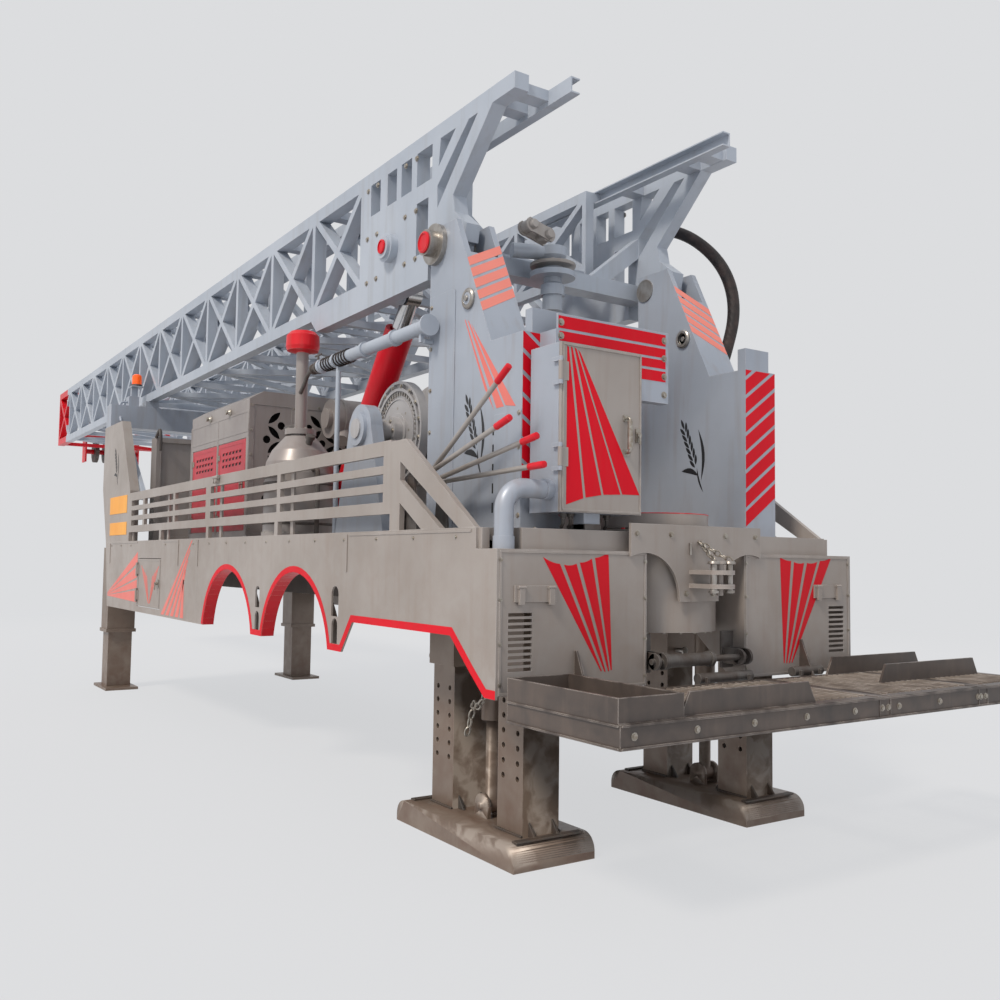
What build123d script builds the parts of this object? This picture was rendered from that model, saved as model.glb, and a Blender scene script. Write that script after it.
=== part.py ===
from build123d import *
import math
import os

# Trailer-mounted drilling rig in its travel position: the mast lies forward over the deck and the
# rig stands on its four jacks. Millimetres. The layout is worked out with x = 0 at the rear
# cabinets' face and +x behind it, y = 0 on the centreline and z = 0 on the ground. At the end
# everything moves so that the origin lies on the ground under the middle of the rig.

# Body and deck
half_width = 1250
deck_top = 1610
deck_thick = 60
deck_rear = -180
skirt_thick = 12
skirt_low = 915
skirt_front_low = -7640
skirt_front_top = -7800
arch_radius = 566
arch_top = 1366
arch_centres = (-3690, -2368)
lip_depth = 90
rear_notch_top = 1095
rear_corner_low = 836
panel_seam = -4420
seam_gap = 1
rail_half = 520
rail_high = 380
rail_flange = 180
rail_web = 20
rail_cross_members = 6
cabinet_inner = 352
cabinet_top = 1510
cabinet_low = 850
cabinet_deep = 1300
cabinet_wall = 12
tray_rear = -50
tray_y = (420, 1080)
vent_count = 10
vent_pitch = 27.5
vent_high = 16
vent_y = (1052, 1186)
vent_top_z = 1212
hatch_x = (-6350, -5530)
hatch_z = (970, 1440)
hatch_gap = 6
hinge_pin = 6
hinge_knuckle = 11
hinge_high = 90

# Front columns and the beam that carries the mast
column_front_top = -8040
column_back_top = -7250
column_back_low = -6780
column_top = 2900
column_thick = 90
rest_beam_x = (-8000, -7780)
rest_beam_top = 3150
rest_gap = 0.5

# Jacks
foot_half = 243
jack_y = 785
jack_tube = 220
jack_wall = 14
jack_tubes_x = (-1040, -390)
jack_gap = 6
guide_gap = 0.3
guide_high = 45
jack_tube_top = 1120
sleeve_low = 880
foot_thick = 120
foot_x = (-1310, -160)
clevis_rise = 60
jack_rod_radius = 35
front_jack_x = -7895
front_jack_y = 1068
front_jack_tube = 250
front_foot = (590, 340)
front_foot_thick = 28
front_sleeve_low = 620
front_tube_top = 1140

# Mast, in its own travel position
pivot_x = -1149
pivot_z = 3260
pin_radius = 75
pin_clearance = 0.05
mast_half = 843
mast_top = 4050
mast_low = 3223
mast_rear = -502
mast_front = -13400
chord = 92
brace = 50
mast_bays = 13
plate_front = -2290
heel_radius = 120
tail_x = -714
window_low = 3745
windows_x = ((-2190, -2050), (-1951, -1822), (-1759, -1623), (-1557, -1368))
tall_window = ((-1553, -1408), (3314, 3641))
doubler_x = (-3160, -1400)
doubler_low = 3130
foot_beam_x = (-1425, -1280)
foot_beam_z = (3226, 3335)
side_boss = (-1875, 3445)
slide_y = (540, 600)
slide_z = (3935, 4020)
slide_wall = 8
slide_rear = -330
slide_gap = 0.3
bracket_long = 100
brackets_rear = (-530, -720, -1250, -2000)
bracket_pitch = 900
shoes_rear = (-1520, -4000)
shoe_long = 200
upper_clear = 10
upper_top = 4010
upper_low = 3400
upper_rear = -1520
upper_front = -13340
upper_chord = 70
upper_brace = 40
upper_bays = 14
crown_x = mast_front - 20
sheave_z = 3180
sheave_radius = 175

# Towers
tower_out = 927
tower_in = 672
cheek = 36
tower_front = -1215
tower_rear = -279
tower_top = 3360
tower_top_rear = -942
ledge_z = 2600
ledge_x = -568
web_top = 3150
web_thick = 40

# Raising cylinders
cylinder_y = 600
cylinder_base = (-3120, 1760)
cylinder_eye = (-2050, 3215)
barrel_radius = 100
barrel_bore = 72
rod_radius = 60
eye_radius = 70
ear_gap = 5

# Rotary table
well_x = -330
ring_radius = 291
ring_low = 1640
ring_high = 1712
well_radius = 140
housing_radius = 330
housing_low = 1100

# Drawworks
drum_x = -1770
drum_z = 2250
drum_flange_radius = 320
drum_radius = 190
drum_half = 560
drum_shaft = 60
brake_y = (780, 840)
brake_rim = 62
brake_slots = 16
case_y = (1010, 1090)
case_radius = 150

# Driver's side gear
panel_x = (-250, -22)
panel_y = (-896, -390)
panel_z = (1690, 2500)
panel_wall = 12
door_thick = 18
panel_hinge = (6, -906)
lever_pivot = (-899, 1871)
lever_rows = (-1125, -1165, -1085, -1045)
lever_ends = ((-108, 2370), (-37, 2114), (66, 2026), (71, 1897))
lever_radius = 13
grip_radius = 16
grip_long = 115
duct_radius = 46
duct_z = 1797
duct_x = -90
duct_y = -1155
guard_x = (-160, -148)
guard_y = (-810, -70)
guard_z = (2300, 2680)

# Engine house, cooler, vessels and standpipes
hood_x = (-5540, -4000)
hood_half = 598
hood_top = 2812
house_out = 1000
house_top = 2740
house_bevel = 884
cooler_x = (-6990, -6790)
cooler_top = 2700
window_deep = 90
window_frame = 42
vessel = (-3020, 960)
vessel_radius = 250
vessel_top = 2345
stack_radius = 44
cap_top = 3100
filter_at = (-3740, 2600)
filter_y = (-420, 240)
filter_radius = 160
hose_radius = 40

# Work platform
platform_top = 850
platform_thick = 100
platform_x = (95, 842)
platform_y = (-half_width, 1800)
platform_joints = (363, 1180)
platform_edge = 60
tray_end = -910
tray_high = 96
toe_boards = ((800, -910, -90), (115, 870, 1740), (500, 800, 1700))


def box(x, y, z):
    """A block given by its two limits along each axis."""
    middle = Pos((x[0] + x[1]) / 2, (y[0] + y[1]) / 2, (z[0] + z[1]) / 2)
    return middle * Box(x[1] - x[0], y[1] - y[0], z[1] - z[0])


def side(s, near, far):
    """The two y limits of something between distances near and far from the centreline."""
    return (near, far) if s > 0 else (-far, -near)


def upright(face, y):
    """A flat drawing of x and z, given thickness between two y values."""
    return Pos(0, y[1], 0) * Rot(90, 0, 0) * extrude(face, amount=y[1] - y[0])


def outline(points, y):
    return upright(make_face(Polyline(*points, close=True)), y)


def rod(start, end, radius, bore=0):
    """A round bar or tube between two points."""
    line = Vector(*end) - Vector(*start)
    plane = Plane(origin=start, z_dir=line)
    body = Solid.make_cylinder(radius, line.length, plane)
    if bore:
        body = body - Solid.make_cylinder(bore, line.length, plane)
    return body


def cross_rod(x, z, y, radius, bore=0):
    """A round bar or tube across the rig, between two y values."""
    return rod((x, y[0], z), (x, y[1], z), radius, bore)


def bar_xz(start, end, wide, y):
    """A flat-sided bar in a plane of x and z, from start to end, between two y values."""
    dx, dz = end[0] - start[0], end[1] - start[1]
    turn = math.degrees(math.atan2(dz, dx))
    at = Pos((start[0] + end[0]) / 2, (y[0] + y[1]) / 2, (start[1] + end[1]) / 2)
    return at * Rot(0, -turn, 0) * Box(math.hypot(dx, dz), y[1] - y[0], wide)


def bar_xy(start, end, wide, z):
    """A flat-sided bar in a level plane, from start to end, between two heights."""
    dx, dy = end[0] - start[0], end[1] - start[1]
    turn = math.degrees(math.atan2(dy, dx))
    at = Pos((start[0] + end[0]) / 2, (start[1] + end[1]) / 2, (z[0] + z[1]) / 2)
    return at * Rot(0, 0, turn) * Box(math.hypot(dx, dy), wide, z[1] - z[0])


def join(pieces):
    first = pieces[0]
    return first.fuse(*pieces[1:]) if len(pieces) > 1 else first


def mirrored(maker):
    """The same piece on both sides, as two solids that don't touch."""
    return Compound([solid for s in (-1, 1) for solid in maker(s).solids()])


def hinge_knuckles(x, y, heights, reach):
    """The moving half of a hinge: a knuckle round the pin at each height, with its leaf."""
    parts = []
    for z in heights:
        leaf = box(*reach, (z - hinge_high / 2, z + hinge_high / 2))
        body = rod((x, y, z - hinge_high / 2), (x, y, z + hinge_high / 2), hinge_knuckle) + leaf
        parts.append(body - rod((x, y, z - hinge_high), (x, y, z + hinge_high), hinge_pin + pin_clearance))
    return parts


def hinge_pins(x, y, heights, reach):
    """The fixed half: each pin, held above and below its knuckle by two lugs."""
    parts = []
    for z in heights:
        half = hinge_high / 2
        parts.append(rod((x, y, z - half - 20), (x, y, z + half + 20), hinge_pin))
        for low in (z - half - 21, z + half + 1):
            parts.append(rod((x, y, low), (x, y, low + 20), hinge_knuckle))
            parts.append(box(*reach, (low, low + 20)))
    return parts


# Chassis and deck

def chassis():
    """Two long channel rails, the cross members that tie them and the arms out to the skirts."""
    top = deck_top - deck_thick
    x = (front_jack_x - 100, -cabinet_deep)
    parts = []
    for s in (-1, 1):
        flange = side(s, rail_half - rail_flange, rail_half)
        parts.append(box(x, side(s, rail_half - rail_web, rail_half), (top - rail_high, top)))
        parts.append(box(x, flange, (top - 24, top)))
        parts.append(box(x, flange, (top - rail_high, top - rail_high + 24)))
    for i in range(rail_cross_members):
        at = x[0] + 400 + i * (x[1] - x[0] - 520) / (rail_cross_members - 1)
        parts.append(box((at - 50, at + 50), (-rail_half, rail_half), (top - 260, top - 40)))
        for s in (-1, 1):
            arm = side(s, rail_half - 5, half_width - skirt_thick)
            parts.append(box((at - 40, at + 40), arm, (top - 110, top)))
    reach = front_jack_y - front_jack_tube / 2 - jack_gap - jack_wall
    parts.append(box((front_jack_x - 100, front_jack_x + 100), (-reach, reach), (top - 260, top - 40)))
    return join(parts)


def deck():
    front = skirt_front_top + 20
    plate = box((front, deck_rear), (-half_width + skirt_thick, half_width - skirt_thick),
                (deck_top - deck_thick, deck_top))
    return plate - Pos(well_x, 0, deck_top) * Cylinder(housing_radius + 10, 3 * deck_thick)


def skirt_face():
    """The side plate's outline in x and z: two wheel arches and a raised rear edge."""
    edge = Polyline(
        (skirt_front_low, skirt_low),
        (-1623, skirt_low),
        (-1480, rear_notch_top),
        (-396, rear_notch_top),
        (-212, 935),
        (-90, rear_corner_low),
        (0, rear_corner_low),
        (0, cabinet_top),
        (deck_rear, cabinet_top),
        (deck_rear, deck_top),
        (skirt_front_top, deck_top),
        close=True,
    )
    face = make_face(edge)
    for centre in arch_centres:
        face = face - Pos(centre, arch_top - arch_radius) * Circle(arch_radius)
    for x, z, w, h in ((-3016, 1165, 80, 110), (-3016, 990, 80, 110),
                       (-1720, 1180, 100, 130), (-1720, 1010, 80, 110)):
        face = face - Pos(x, z) * Rectangle(w, h) - Pos(x, z + h / 2) * Circle(w / 2)
    return face


hatch_pin = (hatch_x[0], -half_width - hinge_knuckle - 1)
hatch_hinges = (hatch_z[0] + 110, hatch_z[1] - 110)
hatch_lugs = ((hatch_pin[0] - 45, hatch_pin[0] - 3), (-half_width - 8, -half_width))


def skirt(s):
    plate = upright(skirt_face(), side(s, half_width - skirt_thick, half_width))
    if s < 0:
        plate = plate - box(hatch_x, (-half_width - 5, -half_width + 50), hatch_z)
        plate = join([plate] + hinge_pins(*hatch_pin, hatch_hinges, hatch_lugs))
    inner = side(s, half_width - lip_depth, half_width - skirt_thick + 1)
    lips = []
    for centre in arch_centres:
        middle = Pos(centre, arch_top - arch_radius)
        ring = middle * (Circle(arch_radius + skirt_thick) - Circle(arch_radius))
        keep = Pos(centre, skirt_low + 500) * Rectangle(2 * arch_radius + 100, 1000)
        lips.append(upright(ring & keep, inner))
    seam = box((panel_seam - seam_gap, panel_seam), (-half_width - 50, half_width + 50), (0, deck_top + 5))
    return join([plate] + lips) - seam


def hatch_door():
    x = (hatch_x[0] + hatch_gap, hatch_x[1] - hatch_gap)
    z = (hatch_z[0] + hatch_gap, hatch_z[1] - hatch_gap)
    body = box(x, (-half_width, -half_width + skirt_thick), z)
    leaf = ((hatch_pin[0], x[0] + 40), (-half_width - 8, -half_width))
    return join([body] + hinge_knuckles(*hatch_pin, hatch_hinges, leaf))


def front_column(s):
    """The raked front column: a plate with a flange all round, open towards the middle."""
    t = skirt_thick
    points = ((skirt_front_top, deck_top), (column_back_low, deck_top), (column_back_low, 2130),
              (column_back_top, column_top), (column_front_top, column_top), (column_front_top, 2200))
    inside = ((skirt_front_top + t, deck_top + t), (column_back_low - t, deck_top + t),
              (column_back_low - t, 2130 - t / 2), (column_back_top - t, column_top - t),
              (column_front_top + t, column_top - t), (column_front_top + t, 2200))
    body = outline(points, side(s, half_width - column_thick, half_width))
    return body - outline(inside, side(s, half_width - column_thick - 5, half_width - t))


def rest_beam():
    """The cross beam with the two pads that carry the lying mast."""
    beam = box(rest_beam_x, (-half_width, half_width), (column_top, rest_beam_top))
    pads = []
    for s in (-1, 1):
        pad = side(s, mast_half - chord - 20, mast_half + 30)
        pads.append(box((rest_beam_x[0] + 20, rest_beam_x[1] - 20), pad, (rest_beam_top - 1, mast_low - rest_gap)))
    return join([beam] + pads)


def cabinet(s):
    """A rear cabinet: a shell with vents in its rear plate, open below for the jack."""
    y = side(s, cabinet_inner, half_width - skirt_thick)
    x = (-cabinet_deep, 0)
    t = cabinet_wall
    body = box(x, y, (cabinet_low, cabinet_top))
    body = body - box((x[0] - 5, x[1] - t), (y[0] + t, y[1] - t), (cabinet_low - 5, cabinet_top - t))
    below = ((x[0] - 5, cabinet_low - 5), (x[0] - 5, rear_notch_top), (-396, rear_notch_top),
             (-212, 935), (-110, cabinet_low - 5))
    body = body - outline(below, (y[0] - 5, y[1] + 5))
    for i in range(vent_count):
        z = vent_top_z - i * vent_pitch
        body = body - box((-40, 40), side(s, *vent_y), (z - vent_high / 2, z + vent_high / 2))
    return body


# Towers

def tower(s):
    """One welded tower: two cheeks, the slanting web between them, and its foot on the cabinet."""
    parts = []
    profile = ((tower_front, deck_top), (tower_rear, deck_top), (tower_rear, ledge_z),
               (ledge_x, ledge_z), (tower_top_rear, tower_top), (tower_front, tower_top))
    for near, far in ((tower_in, tower_in + cheek), (tower_out - cheek, tower_out)):
        parts.append(outline(profile, side(s, near, far)))
    between = side(s, tower_in + cheek - 1, tower_out - cheek + 1)
    slope = (tower_top_rear - ledge_x) / (tower_top - ledge_z)
    web_x = ledge_x + slope * (web_top - ledge_z)
    parts.append(outline(((web_x, web_top), (web_x - web_thick, web_top),
                          (ledge_x - web_thick, ledge_z - web_thick), (ledge_x, ledge_z)), between))
    parts.append(box((ledge_x - web_thick, tower_rear), between, (ledge_z - web_thick, ledge_z)))
    parts.append(box((tower_rear - 30, tower_rear), between, (deck_top, ledge_z)))
    parts.append(box((tower_front, tower_front + 30), between, (deck_top, 2900)))
    stop = side(s, tower_in, tower_out - 56)
    parts.append(box((tower_rear - 60, tower_rear), stop, (ledge_z - 5, ledge_z + 125)))
    parts.append(cross_rod(-790, 2870, side(s, tower_out - 1, tower_out + 16), 34))
    body = join(parts)
    return body - cross_rod(pivot_x, pivot_z, side(s, tower_in - 20, tower_out + 20), pin_radius)


def tower_tray(s):
    """The low box under each tower, between the cabinet's top and the deck."""
    y = side(s, *tray_y)
    low = box((-1240, tray_rear), y, (cabinet_top, deck_top - deck_thick))
    rear = box((deck_rear, tray_rear), y, (cabinet_top, deck_top))
    return low + rear


def mast_pin(s):
    """The main pivot pin, with a washer outside the tower's outer cheek."""
    body = cross_rod(pivot_x, pivot_z, side(s, tower_in - 8, tower_out + 84), pin_radius - pin_clearance)
    return body + cross_rod(pivot_x, pivot_z, side(s, tower_out, tower_out + 30), 118)


# Jacks

def jack_sleeves(s):
    """The two square sleeves that guide a rear jack, the tie between them and its cylinder."""
    inner = jack_tube / 2 + jack_gap
    outer = inner + jack_wall
    y = s * jack_y
    top = cabinet_top - cabinet_wall
    bodies = []
    holes = []
    for x in jack_tubes_x:
        bodies.append(box((x - outer, x + outer), (y - outer, y + outer), (sleeve_low, top)))
        holes.append(box((x - inner, x + inner), (y - inner, y + inner), (sleeve_low + guide_high, top + 5)))
        snug = jack_tube / 2 + guide_gap
        holes.append(box((x - snug, x + snug), (y - snug, y + snug), (sleeve_low - 5, top + 5)))
    centre = sum(jack_tubes_x) / 2
    bodies.append(box((jack_tubes_x[0] + inner + 1, jack_tubes_x[1] - inner - 1), (y - 60, y + 60),
                      (top - 200, top)))
    bodies.append(rod((centre, y, 620), (centre, y, top - 199), 62))
    holes.append(rod((centre, y, 615), (centre, y, top - 200), 45))
    body = join(bodies)
    for hole in holes:
        body = body - hole
    return body


def rear_jack(s):
    """Two square tubes on one long shoe, with the clevis between them, and the rod in the clevis."""
    y = s * jack_y
    half = jack_tube / 2
    centre = sum(jack_tubes_x) / 2
    shoe = upright(Pos((foot_x[0] + foot_x[1]) / 2, foot_thick / 2)
                   * Rectangle(foot_x[1] - foot_x[0], foot_thick), side(s, jack_y - foot_half, jack_y + foot_half))
    ends = [e for e in shoe.edges().filter_by(Axis.Y) if e.center().Z > foot_thick / 2]
    shoe = fillet(ends, foot_thick * 0.7)
    parts = [shoe]
    for x in jack_tubes_x:
        tube = box((x - half, x + half), (y - half, y + half), (foot_thick - 1, jack_tube_top))
        inside = half - jack_wall
        tube = tube - box((x - inside, x + inside), (y - inside, y + inside), (foot_thick, jack_tube_top + 5))
        parts.append(tube)
    eye_z = foot_thick + clevis_rise
    for e in (-1, 1):
        ear = (y + e * 55 - 12, y + e * 55 + 12)
        parts.append(box((centre - 60, centre + 60), ear, (foot_thick - 1, eye_z)))
        parts.append(cross_rod(centre, eye_z, ear, 60))
    parts.append(cross_rod(centre, eye_z, (y - 80, y + 80), 18))
    jack = join(parts)
    shank = rod((centre, y, eye_z), (centre, y, 950), jack_rod_radius)
    shank = shank + cross_rod(centre, eye_z, (y - 38, y + 38), 45)
    shank = shank - cross_rod(centre, eye_z, (y - 60, y + 60), 18 + pin_clearance)
    return Compound([jack.solid(), shank.solid()])


def front_sleeve(s):
    inner = front_jack_tube / 2 + jack_gap
    outer = inner + jack_wall
    x, y = front_jack_x, s * front_jack_y
    top = deck_top - deck_thick
    body = box((x - outer, x + outer), (y - outer, y + outer), (front_sleeve_low, top))
    body = body + box((x - outer - 16, x + outer + 16), (y - outer - 12, y + outer + 12),
                      (front_sleeve_low, front_sleeve_low + 36))
    body = body - box((x - inner, x + inner), (y - inner, y + inner), (front_sleeve_low + guide_high, top + 5))
    snug = front_jack_tube / 2 + guide_gap
    return body - box((x - snug, x + snug), (y - snug, y + snug), (front_sleeve_low - 5, top + 5))


def front_jack(s):
    """A single square leg on a flat plate with four gussets."""
    half = front_jack_tube / 2
    x, y = front_jack_x, s * front_jack_y
    plate = box((x - front_foot[0] / 2, x + front_foot[0] / 2), (y - front_foot[1] / 2, y + front_foot[1] / 2),
                (0, front_foot_thick))
    tube = box((x - half, x + half), (y - half, y + half), (front_foot_thick - 1, front_tube_top))
    inside = half - jack_wall
    tube = tube - box((x - inside, x + inside), (y - inside, y + inside), (front_foot_thick, front_tube_top + 5))
    return plate + tube


# Mast

def truss(y, x, z, bays, wide, cross):
    """One flat side: two chords, a post at each bay and a pair of crossed braces in each."""
    parts = [box(x, y, (z[1] - wide, z[1])), box(x, y, (z[0], z[0] + wide))]
    step = (x[1] - x[0]) / bays
    low, high = z[0] + wide / 2, z[1] - wide / 2
    for i in range(bays + 1):
        at = min(max(x[0] + i * step, x[0] + cross / 2), x[1] - cross / 2)
        parts.append(box((at - cross / 2, at + cross / 2), y, (low, high)))
    for i in range(bays):
        a, b = x[0] + i * step, x[0] + (i + 1) * step
        parts.append(bar_xz((a, low), (b, high), cross, y))
        parts.append(bar_xz((a, high), (b, low), cross, y))
    return join(parts) & box(x, y, z)


def foot_plate(s):
    """The heavy rear end of a mast side: plate, windows, heel, slanting tail and doubled chord."""
    y = side(s, mast_half - chord, mast_half)
    cut = (y[0] - 10, y[1] + 10)
    below = mast_top - chord
    points = ((plate_front - 10, mast_low), (pivot_x - 110, mast_low), (pivot_x - 60, pivot_z),
              (-985, pivot_z), (-965, 3360), (-1095, 3460), (-1120, 3568), (tail_x, below),
              (mast_rear, below), (mast_rear, mast_top), (plate_front - 10, mast_top))
    body = outline(points, y)
    for x in windows_x:
        body = body - box(x, cut, (window_low, below))
    body = body - box(tall_window[0], cut, tall_window[1])
    body = body - outline(((-1292, 3790), (-1271, below), (-1099, below)), cut)
    body = body - outline(((-1299, 3542), (-1304, 3676), (-958, below), (-864, below)), cut)
    body = body + cross_rod(pivot_x, pivot_z, y, heel_radius)
    low = ((doubler_x[0], mast_low + 1), (doubler_x[0] + 100, doubler_low),
           (doubler_x[1], doubler_low), (doubler_x[1], mast_low + 1))
    body = body + outline(low, y)
    body = body + cross_rod(*side_boss, side(s, mast_half - 1, mast_half + 50), 92)
    body = body + cross_rod(*side_boss, side(s, mast_half + 49, mast_half + 70), 72)
    return body - cross_rod(pivot_x, pivot_z, cut, pin_radius)


def mast_side(s):
    frame = truss(side(s, mast_half - chord, mast_half), (mast_front, plate_front),
                  (mast_low, mast_top), mast_bays, chord, brace)
    return frame + foot_plate(s)


def mast_lacing():
    """Cross ties and diagonals between the two sides, under the upper mast."""
    y = mast_half - chord
    z = (mast_low + 8, mast_low + 60)
    x0, x1 = mast_front + 60, plate_front
    step = (x1 - x0) / mast_bays
    parts = []
    for i in range(mast_bays + 1):
        at = x0 + i * step
        parts.append(box((at - brace / 2, at + brace / 2), (-y, y), z))
    for i in range(mast_bays):
        flip = 1 if i % 2 else -1
        start = (x0 + i * step, -flip * (y - brace))
        parts.append(bar_xy(start, (start[0] + step, -start[1]), brace, z))
    return join(parts)


def foot_beam():
    """The beam between the two heels, its raking braces, and the hose's swivel behind it."""
    y = mast_half - chord
    parts = [box(foot_beam_x, (-y, y), foot_beam_z)]
    x = (foot_beam_x[0] + 40, foot_beam_x[1] - 25)
    low, high = foot_beam_z[1] - 2, 3674
    for s in (-1, 1):
        leg = ((s * 327, low), (s * 492, low), (s * y, 3533), (s * y, high))
        face = make_face(Polyline(*leg, close=True))
        parts.append(Pos(x[0], 0, 0) * Rot(0, 0, 90) * Rot(90, 0, 0) * extrude(face, amount=x[1] - x[0]))
    at = (-1110, -125)
    profile = ((0, 2990), (62, 2990), (62, 3085), (74, 3085), (74, 3150), (56, 3165), (56, 3195), (140, 3195),
               (140, 3228), (70, 3232), (60, 3300), (84, 3330), (84, 3385), (0, 3410))
    parts.append(turned(profile, *at))
    parts.append(box((foot_beam_x[1] - 2, at[0] - 50), (at[1] - 45, at[1] + 45), (3240, 3290)))
    parts.append(rod((at[0], at[1], 3355), (at[0] - 70, at[1] - 260, 3345), 46))
    return join(parts)


def mast_fittings(s):
    """The lug for the raising cylinder, and the channel in which the upper mast's shoes slide."""
    face = mast_half - chord
    parts = [cross_rod(*cylinder_eye, side(s, cylinder_y + rod_radius + 7, face), eye_radius)]
    x = (mast_front + 20, slide_rear)
    rail = box(x, side(s, *slide_y), slide_z)
    t = slide_wall
    rail = rail - box((x[0] - 5, x[1] + 5), side(s, slide_y[0] - 5, slide_y[1] - t), (slide_z[0] + t, slide_z[1] - t))
    at = list(brackets_rear)
    while at[-1] - bracket_pitch - bracket_long > x[0]:
        at.append(at[-1] - bracket_pitch)
    for rear in at:
        rail = rail + box((rear - bracket_long, rear), side(s, slide_y[1] - 1, face), (slide_z[0] + 25, slide_z[1]))
    return Compound(parts + [rail])


# Upper mast, which slides out of the front of the lower one

upper_half = slide_y[0] - upper_clear


def upper_side(s):
    """A side of the upper mast, with the two shoes that run in the lower mast's channel."""
    body = truss(side(s, upper_half - upper_chord, upper_half), (upper_front, upper_rear),
                 (upper_low, upper_top), upper_bays, upper_chord, upper_brace)
    reach = side(s, upper_half - 10, slide_y[1] - slide_wall - slide_gap)
    high = (slide_z[0] + slide_wall + slide_gap, slide_z[1] - slide_wall - slide_gap)
    for rear in shoes_rear:
        body = body + box((rear - shoe_long, rear), reach, high)
    return body


def upper_lacing():
    y = upper_half - upper_chord
    z = (upper_low + 5, upper_low + 5 + upper_brace)
    x0, x1 = upper_front + 30, upper_rear - 30
    step = (x1 - x0) / upper_bays
    parts = []
    for i in range(upper_bays + 1):
        at = x0 + i * step
        parts.append(box((at - upper_brace / 2, at + upper_brace / 2), (-y, y), z))
    for i in range(upper_bays):
        flip = 1 if i % 2 else -1
        start = (x0 + i * step, -flip * (y - upper_brace))
        parts.append(bar_xy(start, (start[0] + step, -start[1]), upper_brace, z))
    return join(parts)


def crown():
    """The crown at the upper mast's front end: side plates, two ties and the sheave shaft."""
    parts = []
    for s in (-1, 1):
        parts.append(box((crown_x - 240, crown_x), side(s, 400, 424), (3000, 3980)))
    for z in (upper_low, upper_top - 60):
        parts.append(box((crown_x - 30, upper_front), (-upper_half, upper_half), (z, z + 55)))
    parts.append(cross_rod(crown_x - 140, sheave_z, (-402, 402), 40))
    return join(parts)


def crown_sheaves():
    wheels = []
    for i in range(4):
        y = -240 + i * 160
        wheels.append(cross_rod(crown_x - 140, sheave_z, (y - 30, y + 30), sheave_radius, 40 + pin_clearance))
    return Compound(wheels)


# Raising cylinders

cylinder_long = math.dist(cylinder_base, cylinder_eye)


def along(s, distance):
    """A point on a raising cylinder's axis, that far from its lower pin."""
    t = distance / cylinder_long
    return (cylinder_base[0] + t * (cylinder_eye[0] - cylinder_base[0]), s * cylinder_y,
            cylinder_base[1] + t * (cylinder_eye[1] - cylinder_base[1]))


def raising_barrel(s):
    y = s * cylinder_y
    near, far = y - rod_radius, y + rod_radius
    body = rod(along(s, 0), along(s, 150), 55)
    body = body + rod(along(s, 145), along(s, 0.86 * cylinder_long), barrel_radius)
    body = body + cross_rod(cylinder_base[0], cylinder_base[1], (near, far), 80)
    body = body - rod(along(s, 180), along(s, cylinder_long), barrel_bore)
    return body - cross_rod(cylinder_base[0], cylinder_base[1], (near - 5, far + 5), 35 + pin_clearance)


def raising_rod(s):
    y = s * cylinder_y
    body = rod(along(s, 190), along(s, cylinder_long), rod_radius)
    body = body + rod(along(s, 190), along(s, 250), barrel_bore - pin_clearance)
    return body + cross_rod(cylinder_eye[0], cylinder_eye[1], (y - 50, y + 50), eye_radius)


def raising_bracket(s):
    """Two ears on the deck and the lower pin through them."""
    y = s * cylinder_y
    parts = []
    for e in (-1, 1):
        at = y + e * (rod_radius + ear_gap + 15)
        ear = (at - 15, at + 15)
        parts.append(box((cylinder_base[0] - 100, cylinder_base[0] + 100), ear, (deck_top, cylinder_base[1])))
        parts.append(cross_rod(cylinder_base[0], cylinder_base[1], ear, 100))
    parts.append(cross_rod(cylinder_base[0], cylinder_base[1], (y - 110, y + 110), 35))
    return join(parts)


# Rotary table

def rotary_housing():
    top = ring_low - 0.3
    body = Pos(well_x, 0, (housing_low + top) / 2) * Cylinder(ring_radius - 20, top - housing_low)
    body = body + Pos(well_x, 0, (housing_low + deck_top) / 2) * Cylinder(housing_radius, deck_top - housing_low)
    flange = Pos(well_x, 0, deck_top + 9) * Cylinder(housing_radius + 50, 18)
    body = body + (flange & box((well_x - 500, 0), (-500, 500), (deck_top - 1, deck_top + 20)))
    return body - Pos(well_x, 0, 1400) * Cylinder(well_radius + 20, 1000)


def rotary_table():
    body = Pos(well_x, 0, (ring_low + ring_high) / 2) * Cylinder(ring_radius, ring_high - ring_low)
    return body - Pos(well_x, 0, 1600) * Cylinder(well_radius, 1000)


def guard_plate():
    """The scalloped plate behind the rotary housing, with the lug and the clevis it carries."""
    face = Pos(-5, 1455) * Rectangle(930, 390)
    face = face - Pos(-375, 1270) * Circle(235) - Pos(372, 1270) * Circle(235)
    body = Rot(0, 0, 90) * Rot(90, 0, 0) * extrude(face, amount=16)
    for z in (1330, 1400):
        tongue = extrude(Pos(85, 0) * Rectangle(140, 150), amount=22) + Pos(155, 0, 11) * Cylinder(75, 22)
        body = body + Pos(0, 0, z) * tongue
    return body + Pos(155, 0, 1376) * Cylinder(18, 160) + Pos(155, 0, 1462) * Cylinder(32, 14)


# Drawworks

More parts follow.
